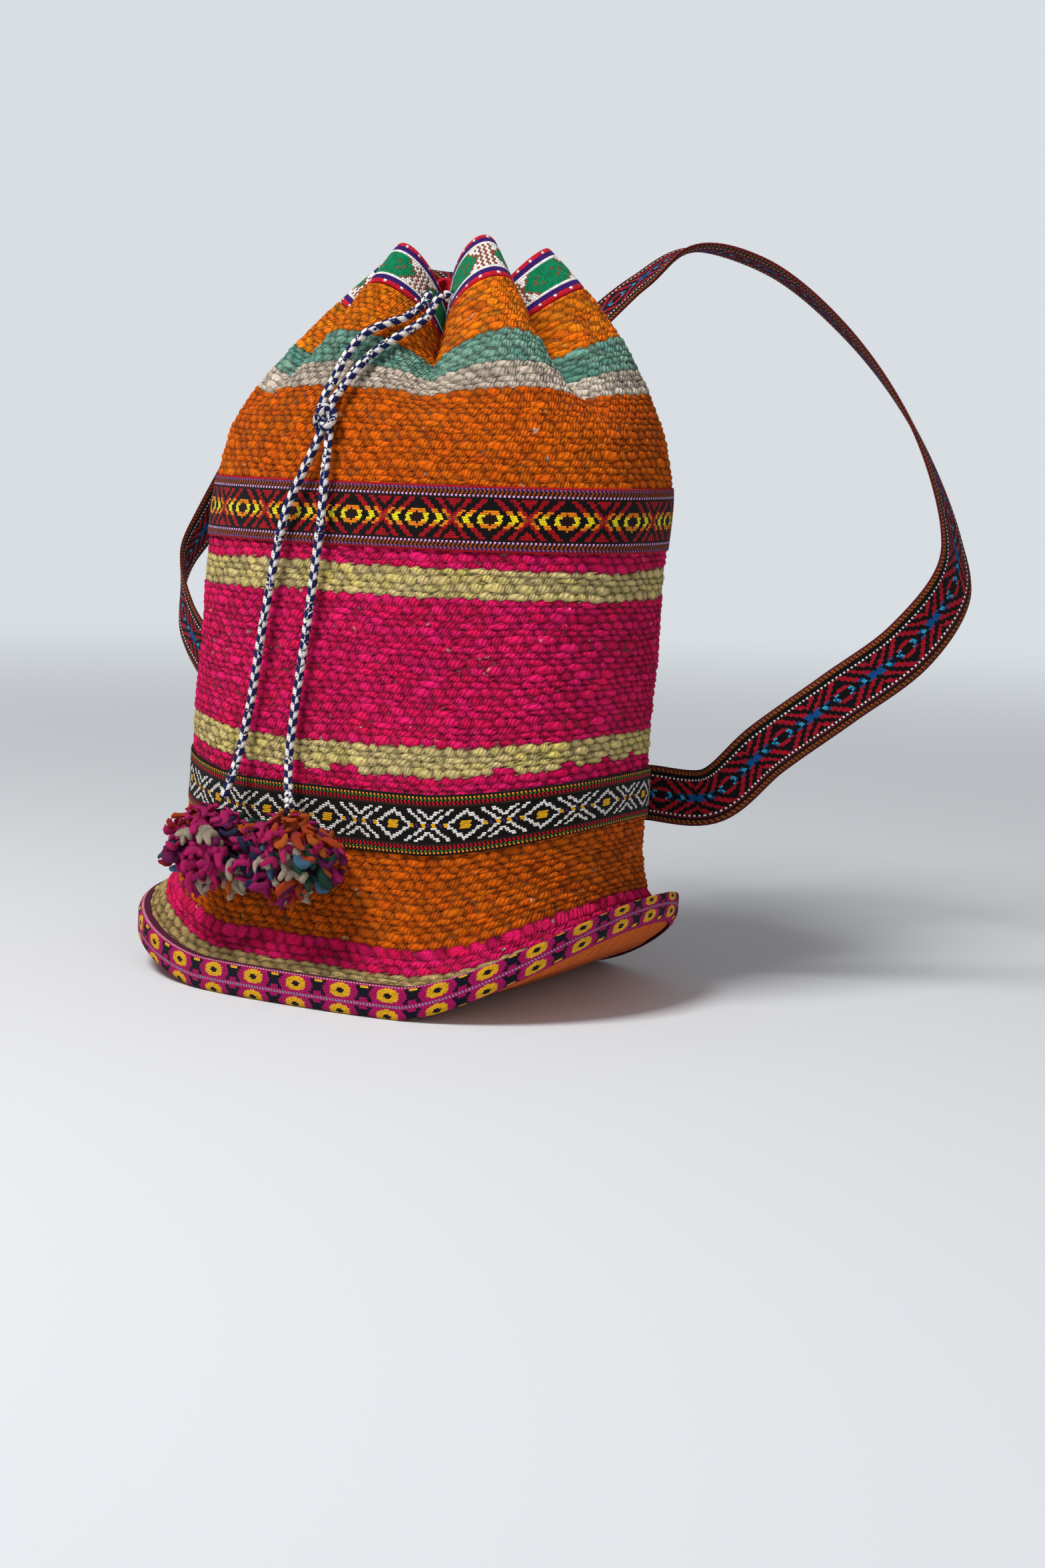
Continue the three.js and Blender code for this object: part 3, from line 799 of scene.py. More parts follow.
# %% The three hoops
TAPE_REPEATS, BORDER_REPEATS = 18, 17
TAPE_STEPS, BORDER_STEPS = 720, 960
tape_run = TAPE_STAND_OFF - TAPE_THICKNESS, TAPE_STAND_OFF, TAPE_STEPS, TAPE_REPEATS
border_run = -BORDER_THICKNESS, 0.0, BORDER_STEPS, BORDER_REPEATS
red_tape, red_length = tape_hoop("red_tape", upper_tape_low, UPPER_TAPE_WIDTH, *tape_run)
black_tape, black_length = tape_hoop("black_tape", lower_tape_low, LOWER_TAPE_WIDTH, *tape_run)
white_tape, white_length = tape_hoop("white_tape", border_low, BORDER_WIDTH, *border_run)
dress(red_tape, upper_pattern(), "red_tape", "upper_tape")
dress(black_tape, lower_pattern(), "black_tape", "lower_tape")
dress(white_tape, border_pattern(), "white_tape", "mouth_border")
say("tapes", red_length, black_length, white_length)

# %% [markdown]
# ## The bound base
# The base is an oval of plain wool. Its edge and the foot of the body cloth lie together, and a fuchsia tape is
# folded over both. The binding is a C-shaped section carried round the seam, so that its fold is really round, and
# the map counts millimetres over the fold: the flowers sit on the outside and again underneath.

# %% Binding
BINDING_TOP = 16.6 * MM
BINDING_THICKNESS = 1.6 * MM
BINDING_ROUND = 3 * MM
BINDING_LAP, BINDING_INNER, BINDING_OUTER = 5.5 * MM, 10.3 * MM, 11.9 * MM
BINDING_REPEATS = 32
SEAM_STEPS = 768
SEAM_LEVEL = 6 * MM


def quarter(first, centre):
    """Points of a quarter round about a centre, from a direction in degrees."""
    turn = np.radians(np.linspace(first, first + 90, 6))
    return np.array(centre) + BINDING_ROUND * np.stack([np.cos(turn), np.sin(turn)], axis=-1)


fold_out = BINDING_OUTER - BINDING_ROUND
fold_top = BINDING_TOP - BINDING_ROUND
under_lap = np.linspace((BINDING_LAP, 0), (fold_out, 0), 7)[:-1]
outer_side = np.linspace((BINDING_OUTER, BINDING_ROUND), (BINDING_OUTER, fold_top), 9)[1:-1]
upper_lap = np.linspace((fold_out, BINDING_TOP), (BINDING_LAP, BINDING_TOP), 7)[1:]
lower_fold, upper_fold = quarter(-90, (fold_out, BINDING_ROUND)), quarter(0, (fold_out, fold_top))
inside = [
    (BINDING_LAP, BINDING_TOP - BINDING_THICKNESS),
    (BINDING_INNER, BINDING_TOP - BINDING_THICKNESS),
    (BINDING_INNER, BINDING_THICKNESS),
    (BINDING_LAP, BINDING_THICKNESS),
]
section = np.concatenate([under_lap, lower_fold, outer_side, upper_fold, upper_lap, inside])
seam_shares = np.linspace(0, 1, SEAM_STEPS + 1)
seam_run = run_of(by_seam(angle_at(seam_shares), SEAM_LEVEL, BINDING_OUTER))
seam_angle = angle_at(np.interp(np.linspace(0, seam_run[-1], SEAM_STEPS + 1), seam_run, seam_shares))
binding_points = by_seam(seam_angle[None, :-1], section[:, None, 1], section[:, None, 0])
section_run = run_of(np.concatenate([section, section[:1]]))
seam_repeats = np.linspace(0, BINDING_REPEATS, SEAM_STEPS + 1)
fuchsia_tape = skin("fuchsia_tape", binding_points, seam_repeats, section_run / MM / UV_UNIT, ring=True)


# %% Flowers on the binding
def binding_pattern():
    along, across = weave_map(new_finish("fuchsia_tape"))
    span_mm, rows, repeat_mm = 40, 60, 24
    stitch = Stitch(along, across * UV_UNIT / span_mm, 30, rows)
    x, fold_mm = stitch.x * repeat_mm, (stitch.row + 0.5) * (span_mm / rows)
    fuchsia, yellow, navy = rgb(0.72, 0.02, 0.38), rgb(0.97, 0.72, 0.10), rgb(0.06, 0.04, 0.11)
    pale, grey_blue, maroon = rgb(0.90, 0.74, 0.80), rgb(0.60, 0.62, 0.72), rgb(0.36, 0.04, 0.20)
    edge = fold_mm.within(21.8, 23.2) * stitch.every_other
    # Painted shade: past the pale stitched edge, on the top of the binding where the cloth goes down behind it, the
    # fuchsia is painted as the darker maroon
    colour = layers(fuchsia, (fold_mm > 23.2, maroon), (edge, pale))
    for middle, way in ((6.7, -1), (17.5, 1)):
        up = (fold_mm - middle) * way
        flower = oval(x, up, 5.6, 3.7)
        aside = repeat_mm / 2 - x
        bow = (aside < (abs(up) * 0.5 + 2.6)) * (abs(up) < 3.9)
        colour = layers(
            colour,
            (bow, navy),
            (bow * (aside < 2.4) * (up > 2.2), yellow),
            (bow * (aside < 1.8) * (up < -2.4), fuchsia),
            (flower < 1.0, yellow),
            (flower < 0.13, navy),
        )
    colour = layers(colour, (fold_mm.within(11.4, 12.8) * stitch.every_other, grey_blue))
    return stitch.finish(colour)


dress(fuchsia_tape, binding_pattern(), "fuchsia_tape", "base_binding")
say("binding", seam_run[-1])

# %% Base panel
PANEL_LOW, PANEL_THICKNESS = 2.4 * MM, 7 * MM
PANEL_STEPS, PANEL_ROWS = 240, 34
BASE_BEAD = 8.2 * MM
panel_u = np.linspace(0, 1, PANEL_STEPS + 1)
panel_angle = angle_at(panel_u)[:-1]
panel_shares = np.linspace(0.03, 0.94, PANEL_ROWS)
panel_lift = PANEL_LOW * smooth(panel_shares, 0.43, 0.8)
shares = np.concatenate([panel_shares, panel_shares[::-3]])
lifts = np.concatenate([panel_lift, panel_lift[::-3] + PANEL_THICKNESS])
panel_foot = sheath(panel_angle, 0 * panel_angle)
panel_points = panel_foot[None] * shares[:, None, None]
panel_points[..., 2] = lifts[:, None]
panel_points = settle(panel_points, panel_points[..., 0])
rim_out = np.array([-4, 0, 5, 9.7, 9.7, 5, 0, -4])[:, None] * MM
rim_height = np.repeat([PANEL_LOW, PANEL_LOW + PANEL_THICKNESS], 4)[:, None]
panel_rim = by_seam(panel_angle[None, :], rim_height, rim_out)
panel_points = np.concatenate([panel_points[:PANEL_ROWS], panel_rim, panel_points[PANEL_ROWS:]])
base = skin("base_wool", panel_points[:, ::-1], panel_u, np.linspace(0, 1, len(panel_points)))


def base_wool():
    field = new_finish("base_wool")
    x, y = apart(own_place(field))
    x, y = x / BASE_BEAD, y / ROW_PITCH
    row = y.floor()
    x = x + (row % 2) * 0.5
    bead = x.floor()
    plump = ((x - bead) * np.pi).sine() * ((y - row) * np.pi).sine()
    fuzz = fibres(field, 900.0)
    # A random tone per bead and from the fibres, with painted shade: each bead lighter at its middle and darker
    # towards its edges
    shade = 0.5 + chance(bead, row) * 0.3 + fuzz * 0.4 + plump * 0.2
    colour = shaded(layers(ORANGE, (fuzz * 0.3, RED_ORANGE)), shade)
    return close_finish(colour, plump + fuzz * 0.4, 1.2 * MM)


dress(base, base_wool(), "base_wool", "base_panel")

# %% [markdown]
# ## Shoulder straps
# A strap is a woven band, patterned on both faces. It lies flat on the back corner, stands off in a loop and comes
# down to the top of the back. It follows the same stations as the solid: places on its middle line, each with the
# way that the band lies across there. A smooth curve runs through both lists, and a flat section with rolled edges
# is carried along it.


# %% Bands
def spline(points, count):
    """A cubic between each two points, with slopes at its ends from the square roots of the distances to the next
    points, so that it passes through uneven points without loops."""
    points = np.asarray(points, dtype=float)
    points = np.concatenate([[2 * points[0] - points[1]], points, [2 * points[-1] - points[-2]]])
    at = np.linspace(0, len(points) - 3, count)
    first = np.minimum(at.astype(int), len(points) - 4)
    t = (at - first)[:, None]
    p0, p1, p2, p3 = (points[first + step] for step in range(4))
    d0, d1, d2 = (np.sqrt(np.linalg.norm(b - a, axis=1, keepdims=True)) for a, b in [(p0, p1), (p1, p2), (p2, p3)])
    d1 = np.where(d1 < 1e-5, 1, d1)
    d0, d2 = np.where(d0 < 1e-5, d1, d0), np.where(d2 < 1e-5, d1, d2)
    leave = ((p1 - p0) / d0 - (p2 - p0) / (d0 + d1) + (p2 - p1) / d1) * d1
    arrive = ((p2 - p1) / d1 - (p3 - p1) / (d1 + d2) + (p3 - p2) / d2) * d1
    return p1 + leave * t + (3 * (p2 - p1) - 2 * leave - arrive) * t**2 + (2 * (p1 - p2) + leave + arrive) * t**3


# %% Way of a strap
STRAP_WIDTH = 30 * MM
STRAP_THICKNESS = 2.4 * MM
STRAP_CLEARANCE = 0.9 * MM
STRAP_SPACING = 34 * MM
LIFT_OFF = 5 * MM
BACK = np.radians(90)
LOOP_BACK = 158 * MM
STRAP_LOOP = np.array(
    [  # in from the loop's reach, forward of its back, below its top, and the way across
        [115, 79, 296, -0.45, -0.05, 0.88],
        [85, 75, 269, -0.6, -0.15, 0.78],
        [49, 66, 240, -0.62, -0.2, 0.74],
        [16, 52, 211, -0.55, -0.35, 0.7],
        [1, 34, 179, -0.35, -0.7, 0.55],
        [9, 20, 152, -0.05, -0.9, 0.4],
        [39, 6, 98, 0.2, -0.92, 0.3],
        [83, 0, 48, 0.35, -0.9, 0.25],
        [131, 3, 13, 0.5, -0.85, 0.15],
        [173, 8, 4, 0.7, -0.7, 0.05],
        [205, 12, 22, 0.85, -0.5, 0],
        [228, 26, 46, 0.95, -0.3, 0],
    ]
)
STRAP_REPEAT = 40 * MM
STRAP_ROWS = 240
FACE_COLUMNS = 19
STRAP_START, STRAP_TURN = np.radians(12), np.radians(35)
RIDGE_HEIGHT = 1.2 * MM
UPPER_SEAM, UPPER_SEAM_RUN = 284 * MM, 26 * MM
RIGHT_LOOP = 257 * MM, 398 * MM
LEFT_LOOP = 250 * MM, 386 * MM


def strap_stations(side, loop_reach, loop_top):
    """Places and ways across: on the lower tape, round the loop, and down the top of the back."""
    mirror = np.array([side, 1, 1])
    share = np.linspace(0, 1, 6)
    angle = BACK - side * (STRAP_START + STRAP_TURN * share)
    on_tape = TAPE_STAND_OFF + STRAP_CLEARANCE + STRAP_THICKNESS / 2
    low_places = on_cloth(angle, lower_tape_low + LOWER_TAPE_WIDTH / 2, on_tape + LIFT_OFF * share**4)
    low_ways = on_cloth(angle, lower_tape_low + LOWER_TAPE_WIDTH) - on_cloth(angle, lower_tape_low)
    loop_places = (np.array([loop_reach, LOOP_BACK, loop_top]) - STRAP_LOOP[:, :3] * MM) * mirror
    share = np.array([1.8, 1, 0.5, 0])
    on_ridges = RIDGE_HEIGHT + STRAP_CLEARANCE + STRAP_THICKNESS / 2
    lifted = on_ridges + 2 * LIFT_OFF * np.maximum(0, share - 1)
    high_places = on_cloth(BACK, UPPER_SEAM + UPPER_SEAM_RUN * share, lifted)
    high_places[:, 0] = side * STRAP_SPACING / 2
    high_ways = np.repeat([[side, 0, 0]], 4, axis=0)
    places = np.concatenate([low_places, loop_places, high_places])
    return places, np.concatenate([unit(low_ways), STRAP_LOOP[:, 3:] * mirror, high_ways])


def band(name, places, ways):
    """A flat section with rolled edges along the stations: the half thickness falls off with the eighth power of
    the distance from the middle. The map has 0 to 1 across one face, 1 to 2 back across the other."""
    middle, across = spline(places, STRAP_ROWS), spline(ways, STRAP_ROWS)
    along = unit(np.gradient(middle, axis=0))
    across = unit(across - (across * along).sum(axis=1, keepdims=True) * along)
    thick = np.cross(along, across)
    side = np.linspace(-1, 1, FACE_COLUMNS)
    offsets = np.concatenate([side, side[-2:0:-1]])
    lift = np.sqrt(1 - np.abs(offsets) ** 8) * np.where(np.arange(len(offsets)) < FACE_COLUMNS, -1, 1)
    points = middle[:, None] + across[:, None] * (offsets * STRAP_WIDTH / 2)[:, None]
    points = points + thick[:, None] * (lift * STRAP_THICKNESS / 2)[:, None]
    run = run_of(middle)
    return skin(name, points, np.linspace(0, 2, len(offsets) + 1), run / STRAP_REPEAT), run[-1]


# %% Strap motif
def strap_pattern():
    face, along = weave_map(new_finish("strap_tape"))
    stitch = Stitch(along, 1 - abs(1 - face), 34, 30)
    x, y = stitch.x, stitch.y
    maroon, rust, olive = rgb(0.37, 0.07, 0.13), rgb(0.66, 0.31, 0.10), rgb(0.22, 0.16, 0.07)
    red, cyan, blue = rgb(0.68, 0.06, 0.15), rgb(0.22, 0.66, 0.80), rgb(0.05, 0.32, 0.58)
    w = y / 0.6
    diamond = x * 2 + w * 0.55
    eye = oval(x, w, 0.16, 0.42)
    chevron = diamond.within(0.56, 0.7)
    motif = layers(
        BLACK,
        (chevron + diamond.within(0.9, 1.04) + diamond.within(1.22, 1.36), red),
        (chevron * (w < 0.26), blue),
        (chevron * (w < 0.14), cyan),
        (diamond.within(0.84, 1.04) * (w < 0.22), blue),
        (eye.within(0.4, 1.0) * (w > 0.2), red),
        (eye.within(0.4, 1.0) * (w < 0.26), cyan),
        (eye.within(0.4, 1.0) * (w < 0.26) * stitch.every_other * (x > 0.1), blue),
    )
    colour = layers(
        maroon,
        (y.within(0.8, 0.92), olive),
        (stitch.dotted(0.8, 0.92), rust),
        (y.within(0.7, 0.8), BLACK),
        (y.within(0.6, 0.7), BLACK),
        (stitch.dotted(0.6, 0.7), WHITE),
        (y < 0.6, motif),
    )
    return stitch.finish(colour)


strap_finish = strap_pattern()
right_strap, right_strap_length = band("right_band", *strap_stations(1, *RIGHT_LOOP))
left_strap, left_strap_length = band("left_band", *strap_stations(-1, *LEFT_LOOP))
dress(right_strap, strap_finish, "strap_tape", "right_strap")
dress(left_strap, strap_finish, "strap_tape", "left_strap")
say("straps", right_strap_length, left_strap_length)

# %% [markdown]
# ## The drawstring
# One braided cord of navy and white cotton runs round the throat inside the gathers. Its two ends leave at the
# front, meet in a knot and hang down to the pompoms. A plain tube would look like wire, so the radius follows the
# plait: on either side of its front the strands slant away from each other, navy and white in turn, and a navy one
# meets a white one. The shader finds the same strands from the map and colours them.

# %% Braided cord
CORD_DIAMETER = 4.6 * MM
BRAID_LENGTH = 4 * MM
PLAIT_FRONT = 0.15
CORD_COLUMNS = 24
CORD_STEP = 0.5 * MM


def on_top(u, v):
    """How far the strands stand out: a half round across each strand, less where the two sides of the plait meet.
    u counts half turns from the front of the cord, and v strands along it. On each side they slant away from the
    front."""
    side = (u - PLAIT_FRONT + 1) % 2 - 1
    across = (v + np.abs(side)) % 1 - 0.5
    return np.sqrt(1 - 3 * across**2) * (0.65 + 0.35 * np.abs(np.sin(np.pi * side)) ** 0.5)


def even(points, step):
    """The same line with points at equal steps along it."""
    run = run_of(points)
    places = np.linspace(0, run[-1], max(int(round(run[-1] / step)), 8) + 1)
    return np.stack([np.interp(places, run, points[:, axis]) for axis in range(3)], axis=-1)


def braid(name, path, beside):
    """A tube along a path. beside is a direction, or one for each point, that the path never runs along."""
    along = unit(np.gradient(path, axis=0))
    side = unit(np.cross(along, beside))
    up = np.cross(side, along)
    half_turns = np.linspace(0, 2, CORD_COLUMNS + 1)
    lengths = run_of(path) / BRAID_LENGTH
    radius = CORD_DIAMETER / 2 * (0.66 + 0.34 * on_top(half_turns[None, :-1], lengths[:, None]))[..., None]
    turn = np.pi * half_turns[:-1, None]
    points = path[:, None] + radius * (side[:, None] * np.cos(turn) + up[:, None] * np.sin(turn))
    return skin(name, points, half_turns, lengths)


def braid_finish():
    field = new_finish("braided_cord")
    u, v = weave_map(field)
    fuzz = fibres(field, 1400.0)
    side = (u + (1 - PLAIT_FRONT)) % 2 - 1
    strand = v + abs(side) + fuzz * 0.3
    navy, painted_groove_shade = rgb(0.08, 0.11, 0.33), rgb(0.10, 0.09, 0.14)
    groove = abs(strand % 1 - 0.5) * 2
    stray = fibres(field, 160.0) > 0.6
    light = (strand.floor() + (side > 0) + stray) % 2
    # The braid's own navy and white strands, then painted shade that darkens the grooves between strands
    colour = layers(navy, (light, WHITE), (groove * groove * groove * 0.6, painted_groove_shade))
    colour = shaded(colour, 0.75 + fuzz * 0.5)
    ply = ((strand * 3 + side * 4) * (2 * np.pi)).sine()
    return close_finish(colour, ply * 0.4 + fuzz, 0.3 * MM, roughness=0.8, sheen=0.05)


# %% Run round the throat
CORD_HEIGHT = mouth_height - 23 * MM
RING_GAP = np.radians(14)
RING_SWING = 0.34
RING_WIDTH, RING_DEPTH = 32 * MM, 29 * MM
RING_POINTS, ROUTE_POINTS = 600, 900
throat_turn = np.linspace(RING_GAP / 2, 2 * np.pi - RING_GAP / 2, 31)
from_valley = np.minimum(throat_turn, 2 * np.pi - throat_turn)
swing = 1 + RING_SWING * (1 - smooth(from_valley, RING_GAP / 2, np.pi / GATHERS))
throat_x = RING_WIDTH * swing * np.cos(FRONT_VALLEY + throat_turn)
throat_y = RING_DEPTH * swing * np.sin(FRONT_VALLEY + throat_turn)
throat = np.stack([throat_x, throat_y, np.full_like(throat_x, CORD_HEIGHT)], axis=-1)
throat_path = even(spline(settle(throat, throat_x), RING_POINTS), CORD_STEP)
cord_finish = braid_finish()
drawstring = braid("throat_cord", throat_path, (0, 0, 1))
dress(drawstring, cord_finish, "braided_cord", "drawstring")
say("cord round the throat", run_of(throat_path)[-1])

# %% Hanging ends
LEFT_ROUTE = [
    (5.5, 3, 362.3), (7.3, -0.8, 360.3), (6, -6, 355), (1.5, -13, 349.5), (-5, -20, 346), (-12.5, -27.5, 341),
    (-18.5, -35.5, 330), (-21.5, -44, 315.5), (-23, -51, 304), (-22.6, -52.5, 290.2), (-29, -58, 270),
    (-38, -61, 248), (-46, -67, 195), (-51, -72, 148), (-54, -78, 120), (-54.5, -89.5, 100.3),
]
RIGHT_ROUTE = [
    (12.35, 4.1, 361.6), (11.7, 0.8, 358.2), (11, -5, 351), (8, -12.5, 345), (2.5, -20.5, 339.5),
    (-4.5, -28.5, 332.5), (-11.5, -37.5, 322), (-15.5, -45.5, 311), (-17.3, -51.3, 303.8), (-17.2, -52.5, 297),
    (-17.2, -52.5, 290), (-15, -59, 270), (-14, -63, 248), (-17, -69, 195), (-21, -74, 148), (-20, -80, 120),
    (-10, -92.8, 99.4),
]
cords = {}
for side, route in (("left", LEFT_ROUTE), ("right", RIGHT_ROUTE)):
    path = even(spline(np.array(route) * MM, ROUTE_POINTS), CORD_STEP)
    cord, length = braid(side + "_cord", path, (1, 0, 0)), run_of(path)[-1]
    dress(cord, cord_finish, "braided_cord", side + "_strand", side + "_tail")
    cords[side] = cord, path, length
    say(side + " end", length)

# %% Knot
KNOT_MARGIN = 2.1 * MM
KNOT_POINTS = 240
knot_low, knot_high = box_of("drawstring_knot")
knot_middle, knot_half = (knot_low + knot_high) / 2, (knot_high - knot_low) / 2 - KNOT_MARGIN
lap = np.linspace(0, 2 * np.pi, KNOT_POINTS)
ring_size = (2 + np.cos(3 * lap)) / 3
knot_shape = np.stack([ring_size * np.cos(2 * lap), ring_size * np.sin(2 * lap), np.sin(3 * lap)], axis=-1)
knot_core = np.stack([np.cos(2 * lap), np.sin(2 * lap), 0 * lap], axis=-1) * 2 / 3
knot = braid("cord_knot", knot_middle + knot_half * knot_shape, knot_shape - knot_core)
dress(knot, cord_finish, "braided_cord", "drawstring_knot")

# %% [markdown]
# ## Pompoms
# Each pompom is a bundle of cut yarn ends in all the colours of the cloth and more. A few hundred bent tubes of a
# few dozen faces are enough, if no two have the same bend, length and colour. All of them are worked out at once,
# in one array with an axis each for the yarns, the places along them and the points round them. Ends that lie side
# by side were cut from the same skein, so neighbours share a colour.


# %% Bundles of yarn
def bundle(name, centres, radius, side, up, sides, **attributes):
    """Tubes about centres[yarn, place]: a circle of the given radius between the side and up directions of each
    yarn, with both ends capped."""
    count, rows = centres.shape[:2]
    turn = np.linspace(0, 2 * np.pi, sides, endpoint=False)[None, None, :, None]
    circle = side[:, None, None] * np.cos(turn) + up[:, None, None] * np.sin(turn)
    points = centres[:, :, None] + circle * radius[:, :, None, None]
    number = np.arange(points[..., 0].size).reshape(count, rows, sides)
    caps = np.concatenate([number[:, 0, ::-1], number[:, -1]])
    spread = {label: np.broadcast_to(values[..., None], number.shape) for label, values in attributes.items()}
    return put(name, points, quads(number).tolist() + caps.tolist(), **spread)


# %% Cut yarn
YARNS = 240
YARN_ROWS = 13
YARN_SPREAD = np.array([1.25, 1, 0.98])
YARN_SIDES = 6
SKEINS = 26
YARN_SAG = 5 * MM
YARN_COLOURS = [
    rgb(0.96, 0.08, 0.52), rgb(0.90, 0.03, 0.48), rgb(0.58, 0.03, 0.40), rgb(0.96, 0.40, 0.08),
    rgb(0.97, 0.14, 0.56), rgb(0.90, 0.82, 0.70), rgb(0.80, 0.03, 0.48), rgb(0.10, 0.34, 0.26),
    rgb(0.94, 0.32, 0.06), rgb(0.96, 0.10, 0.50), rgb(0.78, 0.10, 0.14), rgb(0.66, 0.03, 0.44),
    rgb(0.34, 0.54, 0.68), rgb(0.94, 0.06, 0.46), rgb(0.16, 0.14, 0.34), rgb(0.96, 0.44, 0.10),
]


def pompom(name, node, seed):
    """Yarns that start near the middle and end near the surface of the solid, sagging and curling on the way."""
    luck = np.random.default_rng(seed)
    low, high = box_of(node)
    middle, half = (low + high) / 2, (high - low) / 2
    order = np.arange(YARNS) + 0.5
    slope, spin = np.arccos(1 - 2 * order / YARNS), order * np.pi * (3 - np.sqrt(5))
    way = np.stack([np.sin(slope) * np.cos(spin), np.sin(slope) * np.sin(spin), np.cos(slope)], axis=-1)
    way = unit(way + luck.normal(0, 0.26, way.shape))
    side = unit(np.cross(way, luck.normal(0, 1, way.shape)))
    up = np.cross(way, side)
    at = np.linspace(0.12, 1, YARN_ROWS)[None, :, None]
    length = luck.uniform(0.8, 1.2, (YARNS, 1, 1))
    curl = luck.uniform(1.2, 3.6, (YARNS, 1, 1)) * MM * np.sqrt(at)
    phase = luck.uniform(0, 2 * np.pi, (YARNS, 1, 1))
    centres = middle + way[:, None] * half * YARN_SPREAD * at * length
    aside, above = curl * np.sin(15 * at + phase), curl * np.cos(11 * at + phase)
    centres = centres + side[:, None] * aside + up[:, None] * above
    centres[..., 2] -= (YARN_SAG * at * at * length)[..., 0]
    thick = luck.uniform(1.9, 2.8, (YARNS, 1)) * MM
    radius = thick * np.sqrt(1 - np.clip((at[..., 0] - 0.88) / 0.14, 0, 1) ** 2) * (0.7 + 0.3 * at[..., 0])
    radius = radius * luck.uniform(0.8, 1.15, radius.shape)
    skeins = unit(luck.normal(0, 1, (SKEINS, 3)))
    nearest = (way @ skeins.T + luck.normal(0, 0.16, (YARNS, SKEINS))).argmax(axis=1)
    dye = (luck.permutation(SKEINS)[nearest] % len(YARN_COLOURS) + 0.5) / len(YARN_COLOURS)
    dye = np.repeat(dye[:, None], YARN_ROWS, axis=1)
    place = np.broadcast_to(at[..., 0] * length[..., 0], dye.shape)
    return bundle(name, centres, radius, side, up, YARN_SIDES, dye=dye, place=place)


def yarn_finish():
    field = new_finish("pompom_yarn")
    dye, place = marked(field, "dye"), marked(field, "place")
    stops = [(number / len(YARN_COLOURS), colour) for number, colour in enumerate(YARN_COLOURS)]
    colour = field.node("ShaderNodeValToRGB", {"stops": stops}, {"Fac": dye})
    fuzz = fibres(field, 900.0)
    # Painted shade: each yarn is darker towards the middle of the pompom, where place is small, with a random tone
    # from the fibres
    colour = shaded(colour, (0.3 + place * 0.7) * (0.7 + fuzz * 0.95))
    wave = field.node("ShaderNodeTexWave", {"bands_direction": "DIAGONAL"}, {"Scale": 260.0, "Distortion": 3.0}, 1)
    return close_finish(colour, wave * 0.5 + fuzz, 0.8 * MM, roughness=0.95, sheen=0.06)


yarn = yarn_finish()
left_pompom = pompom("left_yarns", "left_pompom", 5)
right_pompom = pompom("right_yarns", "right_pompom", 9)
dress(left_pompom, yarn, "pompom_yarn", "left_pompom")
dress(right_pompom, yarn, "pompom_yarn", "right_pompom")

# %% [markdown]
# ## What is soft
# Each hanging end's cord, path and length are read back here, beside the pieces at its end.

# %% Hanging cords
for side, ends in (("left", [knot, left_pompom]), ("right", [right_pompom])):
    cord, path, length = cords[side]

# %% [markdown]
# ## Floor, light and camera
# The bag stands in a wide pale bowl: a plain floor that turns up far behind it on every side, so that the bag can
# be seen from all round. A soft lamp from above and in front rakes over the rows of beads, and an even sky and a
# weak second lamp fill their shadows. The camera looks at the front right corner from a little above, as the
# photograph does.

# %% Stage
FLOOR_REACH = 3.2
FLOOR_BEND = 1.6
FLOOR_MIDDLE = 0.6
floor_turn = np.linspace(0, 2 * np.pi, 72, endpoint=False)
bend = np.linspace(0, np.pi / 2, 18)
floor_out = np.concatenate([[FLOOR_MIDDLE], FLOOR_REACH + FLOOR_BEND * np.sin(bend)])[:, None]
floor_up = np.concatenate([[0], FLOOR_BEND * (1 - np.cos(bend))])[:, None]
floor_x, floor_y = floor_out * np.cos(floor_turn), floor_out * np.sin(floor_turn)
floor_points = np.stack([floor_x, floor_y, floor_up + 0 * floor_turn], axis=-1)
number = np.arange(floor_points[..., 0].size).reshape(floor_points.shape[:2])
floor = put("floor", floor_points, quads(number)[:, ::-1].tolist() + [number[0].tolist()])


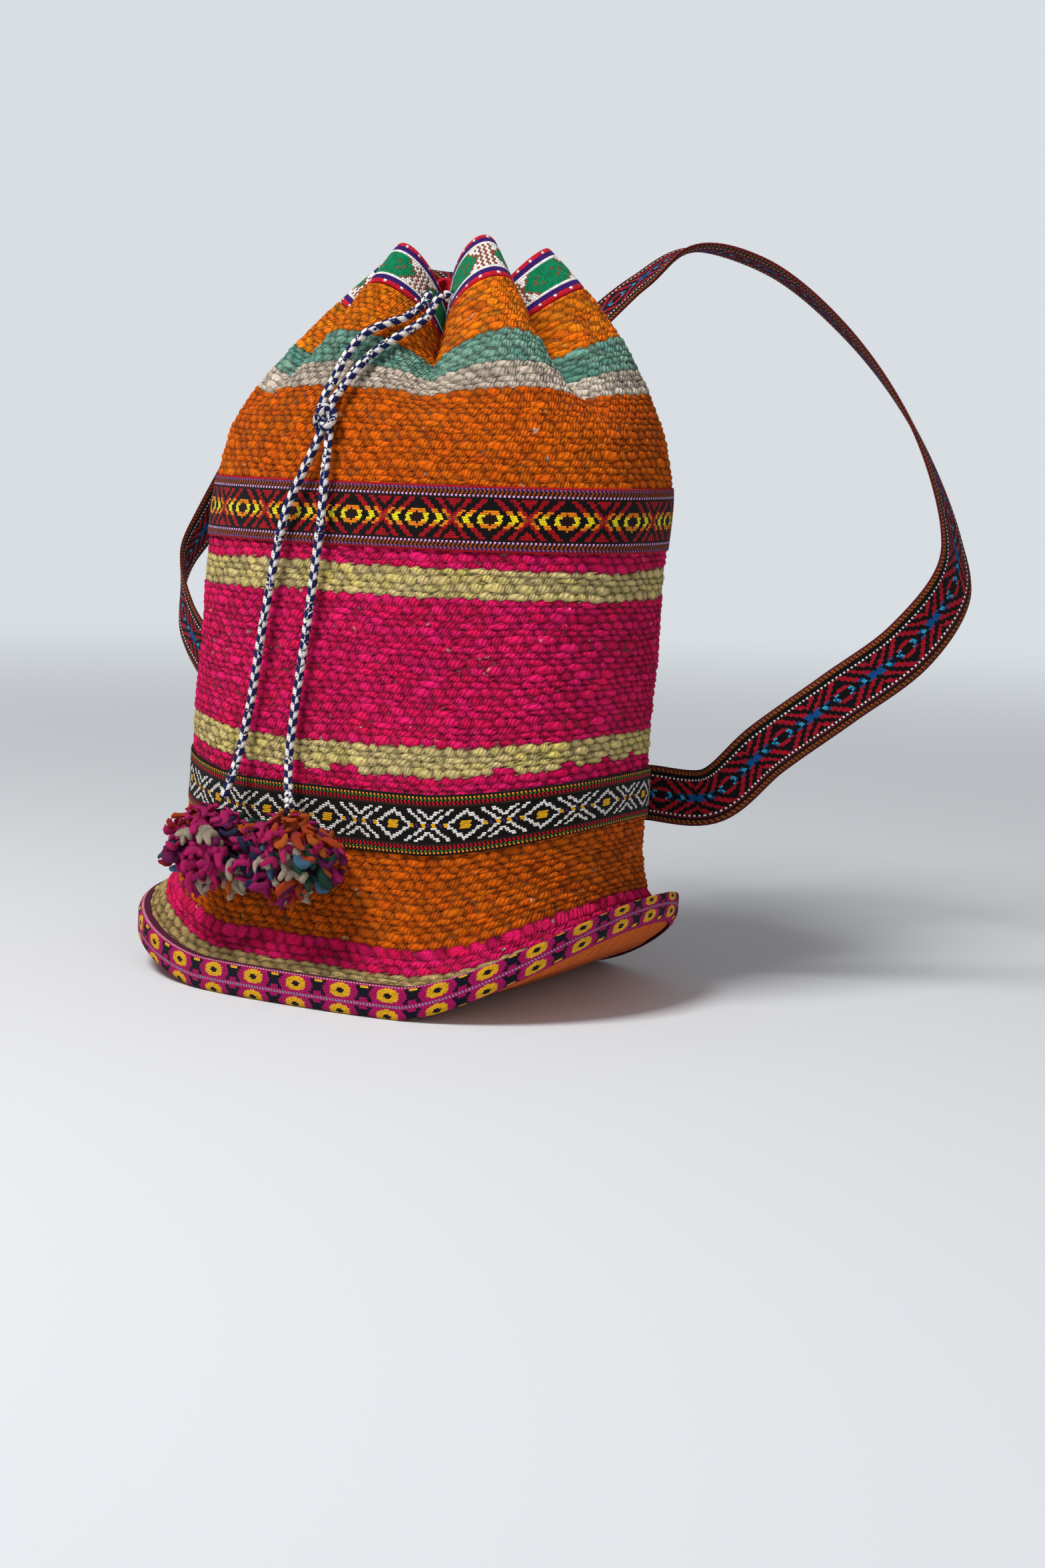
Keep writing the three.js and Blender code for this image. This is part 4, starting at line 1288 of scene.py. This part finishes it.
def pale_floor():
    """A matt floor near the bag, and further off one even pale tone for whoever looks at it."""
    field = new_finish("pale_floor")
    shader = field.tree.nodes["Principled BSDF"]
    shader.inputs["Base Color"].default_value = rgb(0.86, 0.87, 0.88)
    shader.inputs["Roughness"].default_value = 0.9
    away = field.node("ShaderNodeVectorMath", {"operation": "LENGTH"}, {0: own_place(field)}, 1)
    fade = {"Value": away, "From Min": 0.4, "From Max": 2.6}
    far = field.node("ShaderNodeMapRange", {"interpolation_type": "SMOOTHSTEP"}, fade)
    rays = ("Is Camera Ray", "Is Glossy Ray", "Is Transmission Ray")
    seen = [field.node("ShaderNodeLightPath", {}, {}, ray) for ray in rays]
    even_tone = field.node("ShaderNodeEmission", {}, {"Color": rgb(0.85, 0.87, 0.89)})
    factor = far * seen[0].either(seen[1]).either(seen[2])
    matt = Field(field.finish, shader.outputs[0])
    mixed = field.node("ShaderNodeMixShader", {}, {0: factor, 1: matt, 2: even_tone})
    field.tree.links.new(mixed.socket, field.tree.nodes["Material Output"].inputs["Surface"])
    return field.finish


floor.data.materials.append(pale_floor())

# %% Light
world = bpy.data.worlds.new("studio")
world.use_nodes = True
world.node_tree.nodes["Background"].inputs["Color"].default_value = rgb(0.97, 0.98, 1.0)
world.node_tree.nodes["Background"].inputs["Strength"].default_value = 0.3
bpy.context.scene.world = world
bpy.context.scene.view_settings.view_transform = "Standard"


def lamp(name, place, target, power, size):
    light = bpy.data.lights.new(name, "AREA")
    light.energy = power
    light.size = size
    holder = bpy.data.objects.new(name, light)
    holder.location = place
    aim = Vector(target) - Vector(place)
    holder.rotation_euler = aim.to_track_quat("-Z", "Y").to_euler()
    bpy.context.scene.collection.objects.link(holder)


lamp("key", (-0.35, -1.0, 1.9), (0, 0, 0.2), 40, 0.7)
lamp("fill", (1.7, -1.3, 0.7), (0, 0, 0.2), 6, 1.2)

# %% Camera
VIEW_AZIMUTH = np.radians(33.5)
VIEW_DISTANCE = 1.423
VIEW_HEIGHT = 0.296
HEADING = np.radians(31)
PITCH = np.radians(7.65)
ROLL = np.radians(1.5)
FOCAL_PIXELS = 4015
IMAGE_HEIGHT = 2352
lens = bpy.data.cameras.new("camera")
lens.sensor_fit = "VERTICAL"
lens.sensor_height = 36
lens.lens = FOCAL_PIXELS / IMAGE_HEIGHT * lens.sensor_height
camera = bpy.data.objects.new("camera", lens)
camera.location = (VIEW_DISTANCE * np.sin(VIEW_AZIMUTH), -VIEW_DISTANCE * np.cos(VIEW_AZIMUTH), VIEW_HEIGHT)
aim = Euler((np.pi / 2 - PITCH, 0, HEADING)).to_matrix() @ Euler((0, 0, ROLL)).to_matrix()
camera.rotation_euler = aim.to_euler()
bpy.context.scene.collection.objects.link(camera)
bpy.context.scene.camera = camera
